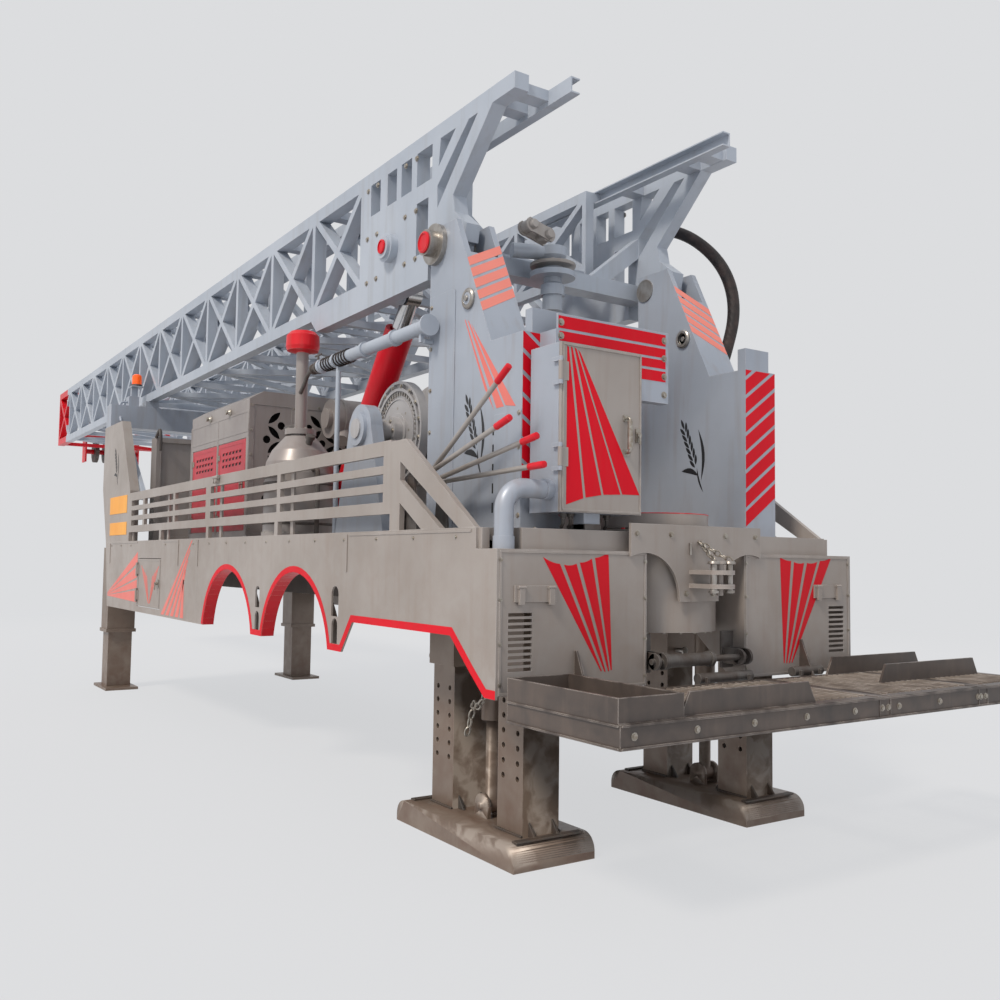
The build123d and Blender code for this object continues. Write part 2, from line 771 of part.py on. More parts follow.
def drum():
    """The cable drum, its two flanges, the shaft and a slotted brake ring at each end."""
    ends = (-case_y[1] - 34, drum_half + 290)
    body = cross_rod(drum_x, drum_z, (-drum_half - 1, drum_half + 1), drum_radius)
    body = body + cross_rod(drum_x, drum_z, ends, drum_shaft)
    for s in (-1, 1):
        body = body + cross_rod(drum_x, drum_z, side(s, drum_half, drum_half + 40), drum_flange_radius)
        ring = cross_rod(drum_x, drum_z, side(s, *brake_y), drum_flange_radius)
        inside = drum_flange_radius - brake_rim
        face = cross_rod(drum_x, drum_z, side(s, brake_y[1] - 14, brake_y[1] + 5), inside, 120)
        ring = ring - face
        for i in range(brake_slots):
            slot = Pos(drum_flange_radius - brake_rim / 2, 0, 0) * Box(brake_rim * 0.45, 40, 84)
            ring = ring - Pos(drum_x, s * brake_y[1], drum_z) * Rot(0, i * 360 / brake_slots, 0) * slot
        body = body + ring
        body = body + cross_rod(drum_x, drum_z, side(s, brake_y[1] - 20, brake_y[1] + 60), 92)
    return body


def chain_case():
    """The case that holds the drum shaft's near end and its drive chain."""
    y = (-case_y[1], -case_y[0])
    body = outline(((drum_x - 330, deck_top), (drum_x + 330, deck_top),
                    (drum_x + case_radius - 8, drum_z + 40), (drum_x - case_radius + 8, drum_z + 40)), y)
    body = body + cross_rod(drum_x, drum_z, y, case_radius)
    body = body + cross_rod(drum_x, drum_z, (y[0] - 24, y[0] + 1), 104)
    return body - cross_rod(drum_x, drum_z, (y[0] - 40, y[1] + 5), drum_shaft + pin_clearance)


def drum_stand(s):
    y = side(s, drum_half + 80, drum_half + 120)
    points = ((drum_x - 330, deck_top), (drum_x + 330, deck_top),
              (drum_x + 120, drum_z + 110), (drum_x - 120, drum_z + 110))
    return outline(points, y) - cross_rod(drum_x, drum_z, (y[0] - 5, y[1] + 5), drum_shaft + pin_clearance)


# Deck gear

def turned(profile, x, y):
    """A round piece on an upright axis, from its outline in radius and height."""
    face = make_face(Polyline(*profile, close=True))
    return Pos(x, y, 0) * revolve(Rot(90, 0, 0) * face, Axis.Z)


def crosswise(points, x):
    """A drawing of y and z, given thickness between two x values."""
    face = make_face(Polyline(*points, close=True))
    return Pos(x[0], 0, 0) * Rot(0, 0, 90) * Rot(90, 0, 0) * extrude(face, amount=x[1] - x[0])


def engine_hood():
    """The middle of the engine house, open behind its rear screen, and the cooler in front."""
    body = box(hood_x, (-hood_half, hood_half), (deck_top, hood_top))
    f = window_frame
    for near, far in ((-hood_half + f, -f), (f, hood_half - f)):
        body = body - box((hood_x[1] - window_deep, hood_x[1] + 5), (near, far), (deck_top + f, house_top - f))
    cooler = box(cooler_x, (-house_out, house_out), (deck_top, cooler_top))
    face = (cooler_x[1] - 25, cooler_x[1] + 5)
    for near, far in ((-house_out + 50, -25), (25, house_out - 50)):
        cooler = cooler - box(face, (near, far), (deck_top + 60, cooler_top - 50))
    return Compound([body.solid(), cooler.solid()])


def side_house(s):
    """A flank of the engine house with its bevelled roof edge and the rear screen's opening."""
    y = [s * v for v in (hood_half, house_out, house_out, house_bevel, hood_half)]
    z = (deck_top, deck_top, house_top, hood_top, hood_top)
    body = crosswise(list(zip(y, z)), hood_x)
    f = window_frame
    opening = side(s, hood_half + f, house_out - f)
    body = body - box((hood_x[1] - window_deep, hood_x[1] + 5), opening, (deck_top + f, house_top - f))
    face = side(s, house_out - 8, house_out + 5)
    for i in range(2):
        x = hood_x[0] + 40 + i * 740
        body = body - box((x, x + 700), face, (deck_top + 60, 2430))
    return body


def tank(s):
    """A domed vessel with a flange and the stack that rises from it to a rain cap."""
    r, z = vessel_radius, deck_top
    profile = ((0, z), (r + 8, z), (r + 8, z + 24), (r, z + 24), (r, 2060), (r * 0.95, 2140),
               (r * 0.8, 2225), (r * 0.58, 2290), (110, 2330), (70, 2338), (70, vessel_top),
               (112, vessel_top), (112, vessel_top + 40), (stack_radius, vessel_top + 42),
               (stack_radius, cap_top - 150), (112, cap_top - 140), (122, cap_top - 110),
               (118, cap_top - 30), (90, cap_top), (0, cap_top))
    return turned(profile, vessel[0], s * vessel[1])


def air_filter():
    """The engine's air cleaner, lying across behind the house, with its bracket and inlet."""
    x, z = filter_at
    body = cross_rod(x, z, filter_y, filter_radius)
    for y in (filter_y[0] + 90, filter_y[0] + 300, filter_y[1] - 60):
        body = body + cross_rod(x, z, (y - 14, y + 14), filter_radius + 9)
    body = body + cross_rod(x, z, (filter_y[0] - 40, filter_y[0] + 1), 82)
    body = body + rod((x, filter_y[0] + 160, z), (x + 120, filter_y[0] + 60, z - 190), 62)
    body = body + box((hood_x[1], x), (-22, 22), (z - 60, z + 60))
    return body


def side_tanks():
    return Compound(mirrored(tank).solids() + [air_filter().solid()])


def control_cabinet():
    x, y, z, t = panel_x, panel_y, panel_z, panel_wall
    shell = box(x, y, z) - box((x[0] + t, x[1] + 5), (y[0] + t, y[1] - t), (z[0] + t, z[1] - t))
    shell = shell + box((-150, -70), (-700, -600), (deck_top, z[0] + 1))
    lugs = ((x[1] - 30, panel_hinge[0]), (panel_hinge[1] - 6, y[0]))
    return join([shell] + hinge_pins(*panel_hinge, panel_hinges, lugs))


panel_hinges = (panel_z[0] + 260, panel_z[1] - 140)


def cabinet_door():
    x = (panel_x[1] + 2, panel_x[1] + 2 + door_thick)
    leaf = ((x[1], x[1] + 6), (panel_hinge[1], panel_y[0] + 40))
    return join([box(x, panel_y, panel_z)] + hinge_knuckles(*panel_hinge, panel_hinges, leaf))


def elbow_pipe():
    """The cable duct that rises from the left cabinet and bends into the control cabinet."""
    start = (duct_x, duct_y, cabinet_top)
    route = FilletPolyline(start, (duct_x, duct_y, duct_z), (duct_x, panel_y[0], duct_z), radius=105)
    body = sweep(Plane(origin=start) * Circle(duct_radius), path=route)
    body = body + rod(start, (duct_x, duct_y, cabinet_top + 60), duct_radius + 5)
    return body + cross_rod(duct_x, duct_z, (panel_y[0] - 40, panel_y[0]), duct_radius + 5)


def striped_guard():
    """The guard between the towers, notched behind the control cabinet, on an arm from the tower."""
    high = panel_z[1] + 5
    beside = panel_y[1] + 5
    lip = guard_x[0] - 50
    body = box(guard_x, guard_y, (high, guard_z[1]))
    body = body + box(guard_x, (beside, guard_y[1]), (guard_z[0], high + 1))
    body = body + box((lip, guard_x[1]), (beside, guard_y[1]), (guard_z[0], guard_z[0] + 12))
    body = body + box((lip, guard_x[1]), (guard_y[1] - 12, guard_y[1]), guard_z)
    arm = (guard_y[0] - 12, guard_y[0] + 1)
    return body + box((tower_rear, guard_x[1]), arm, (high, ledge_z))


def lever_stand():
    """The bracket and shaft that the control levers turn on."""
    x, z = lever_pivot
    ends = (min(lever_rows) - 40, max(lever_rows) + 40)
    parts = [cross_rod(x, z, ends, 15)]
    for y in (ends[0], ends[1] - 15):
        parts.append(outline(((x - 70, deck_top), (x + 70, deck_top), (x + 30, z + 30), (x - 30, z + 30)),
                             (y, y + 15)))
    return join(parts)


def lever(number):
    """A tubular control lever on its hub, with a thicker grip at its end."""
    y = lever_rows[number]
    end = lever_ends[number]
    x, z = lever_pivot
    hub = cross_rod(x, z, (y - 14, y + 14), 30)
    arm = rod((x, y, z), (end[0], y, end[1]), lever_radius)
    length = math.dist(lever_pivot, end)
    start = [end[i] + (lever_pivot[i] - end[i]) * grip_long / length for i in (0, 1)]
    grip = rod((start[0], y, start[1]), (end[0], y, end[1]), grip_radius)
    return join([hub, arm, grip]) - cross_rod(x, z, (y - 20, y + 20), 15 + pin_clearance)


def guard_rail(s):
    """The slotted rail sheet on its posts and the triangular brace frame behind it."""
    y = side(s, half_width - 30, half_width)
    cut = (y[0] - 5, y[1] + 5)
    body = box((column_back_low, -1042), y, (1700, 2100))
    for i in range(3):
        z = 1765 + i * 100
        for a, b in ((-6700, -6250), (-6190, -5200), (-5140, -4260), (-4140, -2700), (-2640, -1130)):
            body = body - box((a, b), cut, (z, z + 55))
    parts = [body]
    for x in (-5600, -4200, -2700):
        parts.append(box((x - 30, x + 30), y, (deck_top, 1701)))
    frame = outline(((-1045, deck_top), (-190, deck_top), (-880, 2090), (-1045, 2090)), y)
    frame = frame - outline(((-935, 1975), (-325, deck_top - 5), (-500, deck_top - 5), (-935, 1875)), cut)
    frame = frame - outline(((-935, 1755), (-690, deck_top - 5), (-935, deck_top - 5)), cut)
    return join(parts + [frame])


# Work platform

def platform_frame():
    """The platform's channel frame, the parts tray at its near end and the raised toe boards."""
    x, y, e = platform_x, platform_y, platform_edge
    z = (platform_top - platform_thick, platform_top)
    body = box(x, y, z) - box((x[0] + e, x[1] - e), (y[0] + e, y[1] - e), (z[0] - 5, z[1] + 5))
    for at in platform_joints:
        body = body + box((x[0] + 10, x[1] - 10), (at - 40, at + 40), z)
    top = platform_top
    rim = box((x[0], x[1] - 12), (y[0], tray_end), (top - 1, top + tray_high))
    rim = rim - box((x[0] + 12, x[1] - 24), (y[0] + 12, tray_end - 12), (top - 5, top + tray_high + 5))
    body = body + rim + box((x[0] + 10, x[1] - 20), (y[0] + 10, tray_end), (top - 2, top + 10))
    for at, near, far in toe_boards:
        points = ((near, top - 1), (far, top - 1), (far - 50, top + tray_high), (near + 50, top + tray_high))
        body = body + crosswise(points, (at, at + 12))
    return body


def platform_bracket(s):
    """The gusset that hangs the platform from a rear cabinet's face."""
    front, low = platform_x[0], platform_top - platform_thick + 2
    points = ((0, cabinet_low + 6), (0, 1040), (14, 1040), (front, platform_top), (front, low), (14, low))
    return outline(points, side(s, 794, 806))


def platform_grating():
    """Bearing bars and cross bars that fill the platform's bays."""
    e = platform_edge
    x = (platform_x[0] + e, platform_x[1] - e)
    z = (platform_top - 32, platform_top - 2)
    edges = (platform_y[0] + e, platform_joints[0] - 40, platform_joints[0] + 40,
             platform_joints[1] - 40, platform_joints[1] + 40, platform_y[1] - e)
    panels = []
    for y in zip(edges[::2], edges[1::2]):
        parts = []
        for i in range(7):
            at = x[0] + 6 + i * (x[1] - x[0] - 12) / 6
            parts.append(box((at - 6, at + 6), y, z))
        rows = round((y[1] - y[0]) / 200)
        for i in range(rows + 1):
            at = y[0] + 6 + i * (y[1] - y[0] - 12) / rows
            parts.append(box(x, (at - 6, at + 6), z))
        panels += join(parts).solids()
    return Compound(panels)


# The delivery hose, which loops over beside the right tower between two standpipes

hose_route = ((-2050, 1030, 2950), (-2050, 1030, 3340), (-1860, 1010, 3690), (-1500, 1000, 3845),
              (-1130, 1025, 3725), (-850, 1095, 3450), (-770, 1135, 3140), (-830, 1085, 2800),
              (-950, 1040, 2470), (-950, 1040, 2160))


def hose():
    """The hose's tube: straight runs joined by arcs as large as the runs beside them allow."""
    points = [Vector(*p) for p in hose_route]
    radii = []
    for a, b, c in zip(points, points[1:], points[2:]):
        turn = math.radians((b - a).get_angle(c - b))
        radii.append(0.45 * min((b - a).length, (c - b).length) / math.tan(turn / 2))
    print("hose radii", [round(r) for r in radii])
    route = FilletPolyline(*points, radius=radii)
    tube = sweep(Plane(origin=points[0], z_dir=points[1] - points[0]) * Circle(hose_radius), path=route)
    print("hose length", route.length, "volume ratio", tube.volume / (math.pi * hose_radius ** 2 * route.length))
    return tube


def standpipes():
    """The two fixed pipes whose tops the hose ends on."""
    pipes = []
    for end in (hose_route[0], hose_route[-1]):
        x, y, top = end
        profile = ((0, deck_top), (95, deck_top), (95, deck_top + 22), (36, deck_top + 22), (36, top - 130),
                   (58, top - 126), (58, top), (0, top))
        pipes.append(turned(profile, x, y))
    return Compound(pipes)


nodes = {}


def both(name, maker):
    for s, word in ((-1, "left"), (1, "right")):
        nodes[f"{word}_{name}"] = maker(s)


nodes["chassis_rails"] = chassis()
nodes["deck_plate"] = deck()
both("side_skirt", skirt)
nodes["hatch_door"] = hatch_door()
both("front_column", front_column)
nodes["mast_rest_beam"] = rest_beam()
both("rear_cabinet", cabinet)
both("tower", tower)
nodes["tower_trays"] = mirrored(tower_tray)
nodes["mast_pins"] = mirrored(mast_pin)
nodes["rear_jack_sleeves"] = mirrored(jack_sleeves)
both("rear_jack", rear_jack)
nodes["front_jack_sleeves"] = mirrored(front_sleeve)
both("front_jack", front_jack)
both("mast_side", mast_side)
nodes["mast_lacing"] = mast_lacing()
nodes["mast_foot_beam"] = foot_beam()
nodes["mast_fittings"] = mirrored(mast_fittings)
both("upper_mast_side", upper_side)
nodes["upper_mast_lacing"] = upper_lacing()
nodes["crown_frame"] = crown()
nodes["crown_sheaves"] = crown_sheaves()
both("raising_barrel", raising_barrel)
both("raising_rod", raising_rod)
nodes["raising_brackets"] = mirrored(raising_bracket)
nodes["rotary_housing"] = rotary_housing()
nodes["rotary_table"] = rotary_table()
nodes["guard_plate"] = guard_plate()
nodes["drawworks_drum"] = drum()
nodes["drawworks_stands"] = mirrored(drum_stand)
nodes["chain_case"] = chain_case()
nodes["engine_hood"] = engine_hood()
nodes["side_houses"] = mirrored(side_house)
nodes["side_tanks"] = side_tanks()
nodes["standpipes"] = standpipes()
nodes["delivery_hose"] = hose()
nodes["control_cabinet"] = control_cabinet()
nodes["cabinet_door"] = cabinet_door()
nodes["elbow_pipe"] = elbow_pipe()
nodes["striped_guard"] = striped_guard()
nodes["lever_stand"] = lever_stand()
for number in range(len(lever_rows)):
    nodes[f"control_lever_{number + 1}"] = lever(number)
both("guard_rail", guard_rail)
nodes["platform_frame"] = platform_frame()
nodes["platform_grating"] = platform_grating()
nodes["platform_brackets"] = mirrored(platform_bracket)

if __name__ == "__main__":
    whole = Compound(list(nodes.values())).bounding_box()
    shift = Pos(-(whole.min.X + whole.max.X) / 2, -(whole.min.Y + whole.max.Y) / 2, 0)
    print("origin at", (whole.min.X + whole.max.X) / 2, (whole.min.Y + whole.max.Y) / 2)
    print("size", whole.size, "low", whole.min.Z)
    os.makedirs("parts", exist_ok=True)
    for name, shape in nodes.items():
        export_step(shift * shape, f"parts/{name}.step")
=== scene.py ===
import math

import bmesh
import bpy
from mathutils import Matrix, Vector


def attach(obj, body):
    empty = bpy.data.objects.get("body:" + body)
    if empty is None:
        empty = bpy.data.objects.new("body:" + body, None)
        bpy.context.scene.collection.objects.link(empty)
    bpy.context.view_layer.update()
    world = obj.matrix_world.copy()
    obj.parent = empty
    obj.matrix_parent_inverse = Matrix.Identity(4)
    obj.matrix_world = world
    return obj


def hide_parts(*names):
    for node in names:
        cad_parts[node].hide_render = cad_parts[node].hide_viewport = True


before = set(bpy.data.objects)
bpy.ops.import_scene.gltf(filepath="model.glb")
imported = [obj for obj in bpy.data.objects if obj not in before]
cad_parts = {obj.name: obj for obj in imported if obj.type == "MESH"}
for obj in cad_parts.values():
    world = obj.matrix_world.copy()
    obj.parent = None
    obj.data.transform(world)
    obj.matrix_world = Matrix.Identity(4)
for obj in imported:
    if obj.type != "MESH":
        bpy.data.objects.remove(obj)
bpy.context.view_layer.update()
print("stage: frame loaded,", len(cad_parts), "nodes")

# The rig is drawn in millimetres: x = 0 at its rear face and growing behind it, y = 0 on the
# centreline with the left side at -y, z = 0 on the ground. toRow gives the frame's metres.
drawing = {"rearFace": 6446.5, "centreline": -263.5}


def toRow(x, y, z):
    return Vector(((x + drawing["rearFace"]) / 1000, (y + drawing["centreline"]) / 1000, z / 1000))


# Faces, levels and centres of the steel parts, in the drawing, that this script's pieces stand on
drawn = {
    "skirt": 1250, "house": 1000, "towerOut": 927, "towerIn": 672, "towerRear": -279,
    "towerTopRear": -942, "pivot": (-1149, 3260), "sideBoss": (-1875, 3445), "drum": (-1770, 2250),
    "brakeFace": 840, "vessel": (-3020, 960), "jackSide": 785, "well": (-330, 0), "arches": (-3690, -2368),
    "archRadius": 566, "archCentre": 800, "towerBoss": (-790, 2870), "leverPivot": (-899, 1871),
}


def onSide(s, near, far):
    # a span on the left, s = -1, or the right, s = 1, in rising order
    return tuple(sorted((s * near, s * far)))


def hexColour(text):
    values = []
    for i in (0, 2, 4):
        part = int(text[i:i + 2], 16) / 255
        values.append(part / 12.92 if part <= 0.04045 else ((part + 0.055) / 1.055) ** 2.4)
    return (*values, 1.0)


def addNode(tree, kind, settings=None, links=None):
    made = tree.nodes.new(kind)
    for key, value in (settings or {}).items():
        if isinstance(key, int) or key in made.inputs:
            made.inputs[key].default_value = value
        else:
            setattr(made, key, value)
    for key, source in (links or {}).items():
        tree.links.new(source.outputs[0] if isinstance(source, bpy.types.Node) else source, made.inputs[key])
    return made


def fillShader(tree, shader, values):
    for label, value in values.items():
        if isinstance(value, (tuple, float)):
            shader.inputs[label].default_value = value
        else:
            tree.links.new(value, shader.inputs[label])


# Camera, floor and light

cameraView = {
    "at": (10.1079, -3.9589, 1.45),     # eye height of someone standing near the left rear corner
    "heading": 56.1358,                 # degrees from straight ahead, +Y, towards the front
    "pitch": 3.6048,
    "roll": -0.7723,
    "lens": 35.346,
}


def makeCamera():
    a, p, r = (math.radians(cameraView[k]) for k in ("heading", "pitch", "roll"))
    flat = Vector((-math.sin(a), math.cos(a), 0))
    forward = math.cos(p) * flat + Vector((0, 0, math.sin(p)))
    right = Vector((math.cos(a), math.sin(a), 0))
    down = forward.cross(right)
    turnedRight = math.cos(r) * right + math.sin(r) * down
    up = math.sin(r) * right - math.cos(r) * down
    data = bpy.data.cameras.new("viewCamera")
    data.sensor_width = 36
    data.lens = cameraView["lens"]
    data.clip_end = 300
    camera = bpy.data.objects.new("viewCamera", data)
    turn = Matrix((turnedRight, up, -forward)).transposed().to_4x4()
    camera.matrix_world = Matrix.Translation(cameraView["at"]) @ turn
    bpy.context.collection.objects.link(camera)
    bpy.context.scene.camera = camera


studio = {
    "background": "DCDDDF",
    "sky": "E9EEF7",
    "skyLevel": 0.78,
    "floorColour": "D9D9DA",
    "floorHalf": 60.0,
    "fadeStart": 9.5,                   # metres from the rig's middle where the floor starts to fade
    "fadeEnd": 17.0,
    "plainShare": 0.86,                 # how much of the floor that is seen is plain background
    "sunLevel": 2.3,
    "sunColour": "FFF6EA",
    "sunFrom": (0.20, -0.66, 0.80),
    "sunSoftness": 12.0,
}


def seenDirectly(tree):
    path = addNode(tree, "ShaderNodeLightPath")
    first = addNode(tree, "ShaderNodeMath", {"operation": "MAXIMUM"},
                    {0: path.outputs["Is Camera Ray"], 1: path.outputs["Is Glossy Ray"]})
    both = addNode(tree, "ShaderNodeMath", {"operation": "MAXIMUM"},
                   {0: first, 1: path.outputs["Is Transmission Ray"]})
    return both.outputs[0]


def makeStudio():
    world = bpy.data.worlds.new("studio")
    bpy.context.scene.world = world
    world.use_nodes = True
    tree = world.node_tree
    tree.nodes.clear()
    lighting = addNode(tree, "ShaderNodeBackground", {"Color": hexColour(studio["sky"]),
                                                      "Strength": studio["skyLevel"]})
    seen = addNode(tree, "ShaderNodeBackground", {"Color": hexColour(studio["background"])})
    mixed = addNode(tree, "ShaderNodeMixShader", {}, {0: seenDirectly(tree), 1: lighting, 2: seen})
    addNode(tree, "ShaderNodeOutputWorld", {}, {"Surface": mixed})

    half = studio["floorHalf"]
    mesh = bpy.data.meshes.new("floor")
    mesh.from_pydata([(-half, -half, 0), (half, -half, 0), (half, half, 0), (-half, half, 0)], [], [(0, 1, 2, 3)])
    floor = bpy.data.objects.new("floor", mesh)
    floor.location.z = -0.0005
    bpy.context.collection.objects.link(floor)
    matt = bpy.data.materials.new("paleStudioFloor")
    matt.use_nodes = True
    tree = matt.node_tree
    tree.nodes.clear()
    coords = addNode(tree, "ShaderNodeTexCoord")
    length = addNode(tree, "ShaderNodeVectorMath", {"operation": "LENGTH"}, {0: coords.outputs["Object"]})
    fade = addNode(tree, "ShaderNodeMapRange", {"From Min": studio["fadeStart"], "From Max": studio["fadeEnd"],
                                                "interpolation_type": "SMOOTHSTEP"},
                   {"Value": length.outputs["Value"]})
    fade.inputs["To Min"].default_value = studio["plainShare"]
    seen = addNode(tree, "ShaderNodeMath", {"operation": "MULTIPLY"}, {0: fade, 1: seenDirectly(tree)})
    lit = addNode(tree, "ShaderNodeBsdfDiffuse", {"Color": hexColour(studio["floorColour"])})
    plain = addNode(tree, "ShaderNodeEmission", {"Color": hexColour(studio["background"])})
    mixed = addNode(tree, "ShaderNodeMixShader", {}, {0: seen, 1: lit, 2: plain})
    addNode(tree, "ShaderNodeOutputMaterial", {}, {"Surface": mixed})
    mesh.materials.append(matt)

    sun = bpy.data.lights.new("softSun", "SUN")
    sun.energy = studio["sunLevel"]
    sun.color = hexColour(studio["sunColour"])[:3]
    sun.angle = math.radians(studio["sunSoftness"])
    lamp = bpy.data.objects.new("softSun", sun)
    lamp.rotation_euler = Vector(studio["sunFrom"]).to_track_quat("Z", "Y").to_euler()
    bpy.context.collection.objects.link(lamp)
    bpy.context.scene.view_settings.view_transform = "Standard"


makeCamera()
makeStudio()
print("stage: camera and studio")


# Materials

def surface(name):
    made = bpy.data.materials.new(name)
    made.use_nodes = True
    tree = made.node_tree
    tree.nodes.clear()
    shader = addNode(tree, "ShaderNodeBsdfPrincipled")
    addNode(tree, "ShaderNodeOutputMaterial", {}, {"Surface": shader})
    coords = addNode(tree, "ShaderNodeTexCoord").outputs["Object"]
    return made, tree, shader, coords


def noise(tree, coords, patchMm, detail=3.0, stretch=None, distortion=0.0):
    # patchMm is the real size of the pattern's patches
    if stretch:
        coords = addNode(tree, "ShaderNodeMapping", {"Scale": stretch}, {"Vector": coords}).outputs[0]
    return addNode(tree, "ShaderNodeTexNoise", {"Scale": 1000 / patchMm, "Detail": detail, "Distortion": distortion},
                   {"Vector": coords}).outputs["Fac"]


def mask(tree, value, low, high):
    return addNode(tree, "ShaderNodeMapRange", {"From Min": low, "From Max": high}, {"Value": value}).outputs[0]


def blend(tree, factor, first, second, kind="MIX"):
    made = addNode(tree, "ShaderNodeMix", {"data_type": "RGBA", "blend_type": kind})
    for index, value in ((0, factor), (6, first), (7, second)):
        if isinstance(value, (tuple, float, int)):
            made.inputs[index].default_value = value
        else:
            tree.links.new(value, made.inputs[index])
    return made.outputs[2]


def times(tree, first, second):
    made = addNode(tree, "ShaderNodeMath", {"operation": "MULTIPLY"}, {0: first})
    if isinstance(second, (float, int)):
        made.inputs[1].default_value = second
    else:
        tree.links.new(second, made.inputs[1])
    return made.outputs[0]


def edgeMask(tree, radiusMm, low, high):
    # where the rounded normal leaves the face's own normal, the paint is rubbed through
    rounded = addNode(tree, "ShaderNodeBevel", {"samples": 4, "Radius": radiusMm / 1000})
    flat = addNode(tree, "ShaderNodeNewGeometry")
    turn = addNode(tree, "ShaderNodeVectorMath", {"operation": "DOT_PRODUCT"},
                   {0: rounded, 1: flat.outputs["True Normal"]})
    return mask(tree, turn.outputs["Value"], high, low)


def roughBetween(tree, value, low, high):
    return addNode(tree, "ShaderNodeMapRange", {"To Min": low, "To Max": high}, {"Value": value}).outputs[0]


def raised(tree, height, strength, depth=0.002):
    return addNode(tree, "ShaderNodeBump", {"Strength": strength, "Distance": depth}, {"Height": height}).outputs[0]


# Sprayed two-pack paint on welded plate: faint mottling, runs of dust and chips at the edges.
def sprayedPaint(name, look):
    made, tree, shader, coords = surface(name)
    broad = noise(tree, coords, look.get("mottleMm", 620), 4.0)
    runs = noise(tree, coords, 60, 4.0, (1.0, 1.0, 0.09))
    grime = noise(tree, coords, 110, 8.0, None, 0.4)
    colour = blend(tree, mask(tree, broad, 0.36, 0.66), hexColour(look["paint"]), hexColour(look["shade"]))
    if "zone" in look:
        zone = look["zone"]
        parts = addNode(tree, "ShaderNodeSeparateXYZ", {}, {"Vector": coords})
        edge = zone["edge"]
        inside = mask(tree, parts.outputs[zone["axis"]], edge, edge + zone["side"] * 0.004)
        colour = blend(tree, inside, colour, hexColour(zone["paint"]))
    colour = blend(tree, times(tree, mask(tree, runs, 0.52, 0.78), look.get("runs", 0.28)), colour,
                   hexColour(look["dust"]))
    parts = addNode(tree, "ShaderNodeSeparateXYZ", {}, {"Vector": coords})
    low = mask(tree, parts.outputs["Z"], look.get("dustTop", 1.9), 0.1)
    dusty = times(tree, times(tree, low, mask(tree, grime, 0.34, 0.72)), look.get("dustLevel", 0.55))
    colour = blend(tree, dusty, colour, hexColour(look["dust"]))
    rubbed = times(tree, edgeMask(tree, look.get("edgeMm", 6), 0.80, 0.985), mask(tree, grime, 0.42, 0.58))
    colour = blend(tree, times(tree, rubbed, look.get("wear", 0.6)), colour, hexColour(look["bare"]))
    # spray texture is 2 to 3 mm across; drawn at 14 mm so that it shows
    texture = noise(tree, coords, 14, 2.0)
    dents = noise(tree, coords, 340, 1.0)
    height = addNode(tree, "ShaderNodeMath", {"operation": "MULTIPLY_ADD", 1: 0.12}, {0: texture, 2: dents})
    fillShader(tree, shader, {
        "Base Color": colour, "Roughness": roughBetween(tree, grime, look["rough"] - 0.09, look["rough"] + 0.14),
        "Metallic": look.get("flake", 0.0), "IOR": 1.5, "Specular IOR Level": look.get("specular", 0.5),
        "Coat Weight": look.get("gloss", 0.12), "Coat Roughness": 0.25,
        "Normal": raised(tree, height, look.get("bump", 0.3), 0.004)})
    return made


# Bare or blackened steel: fine mill marks, brown bloom and dull patches; also the near-black used as painted shade
# inside openings.
def workedMetal(name, look):
    made, tree, shader, coords = surface(name)
    patches = noise(tree, coords, look["patchMm"], 6.0, None, 0.3)
    marks = noise(tree, coords, look.get("markMm", 9), 3.0, look.get("stretch", (1.0, 1.0, 0.15)))
    colour = blend(tree, mask(tree, patches, 0.35, 0.7), hexColour(look["metal"]), hexColour(look["bloom"]))
    colour = blend(tree, times(tree, mask(tree, marks, 0.45, 0.75), 0.3), colour, hexColour(look["mark"]))
    rubbed = times(tree, edgeMask(tree, look.get("edgeMm", 5), 0.80, 0.985), look.get("wear", 0.5))
    colour = blend(tree, rubbed, colour, hexColour(look["bare"]))
    fillShader(tree, shader, {
        "Base Color": colour, "Metallic": look["metallic"],
        "Roughness": roughBetween(tree, patches, look["rough"] - 0.1, look["rough"] + 0.15),
        "Normal": raised(tree, marks, look.get("bump", 0.25))})
    return made


warmDust = "8A7566"
mastEnd = (-12760 + drawing["rearFace"]) / 1000
redPaintHex = "D20A20"

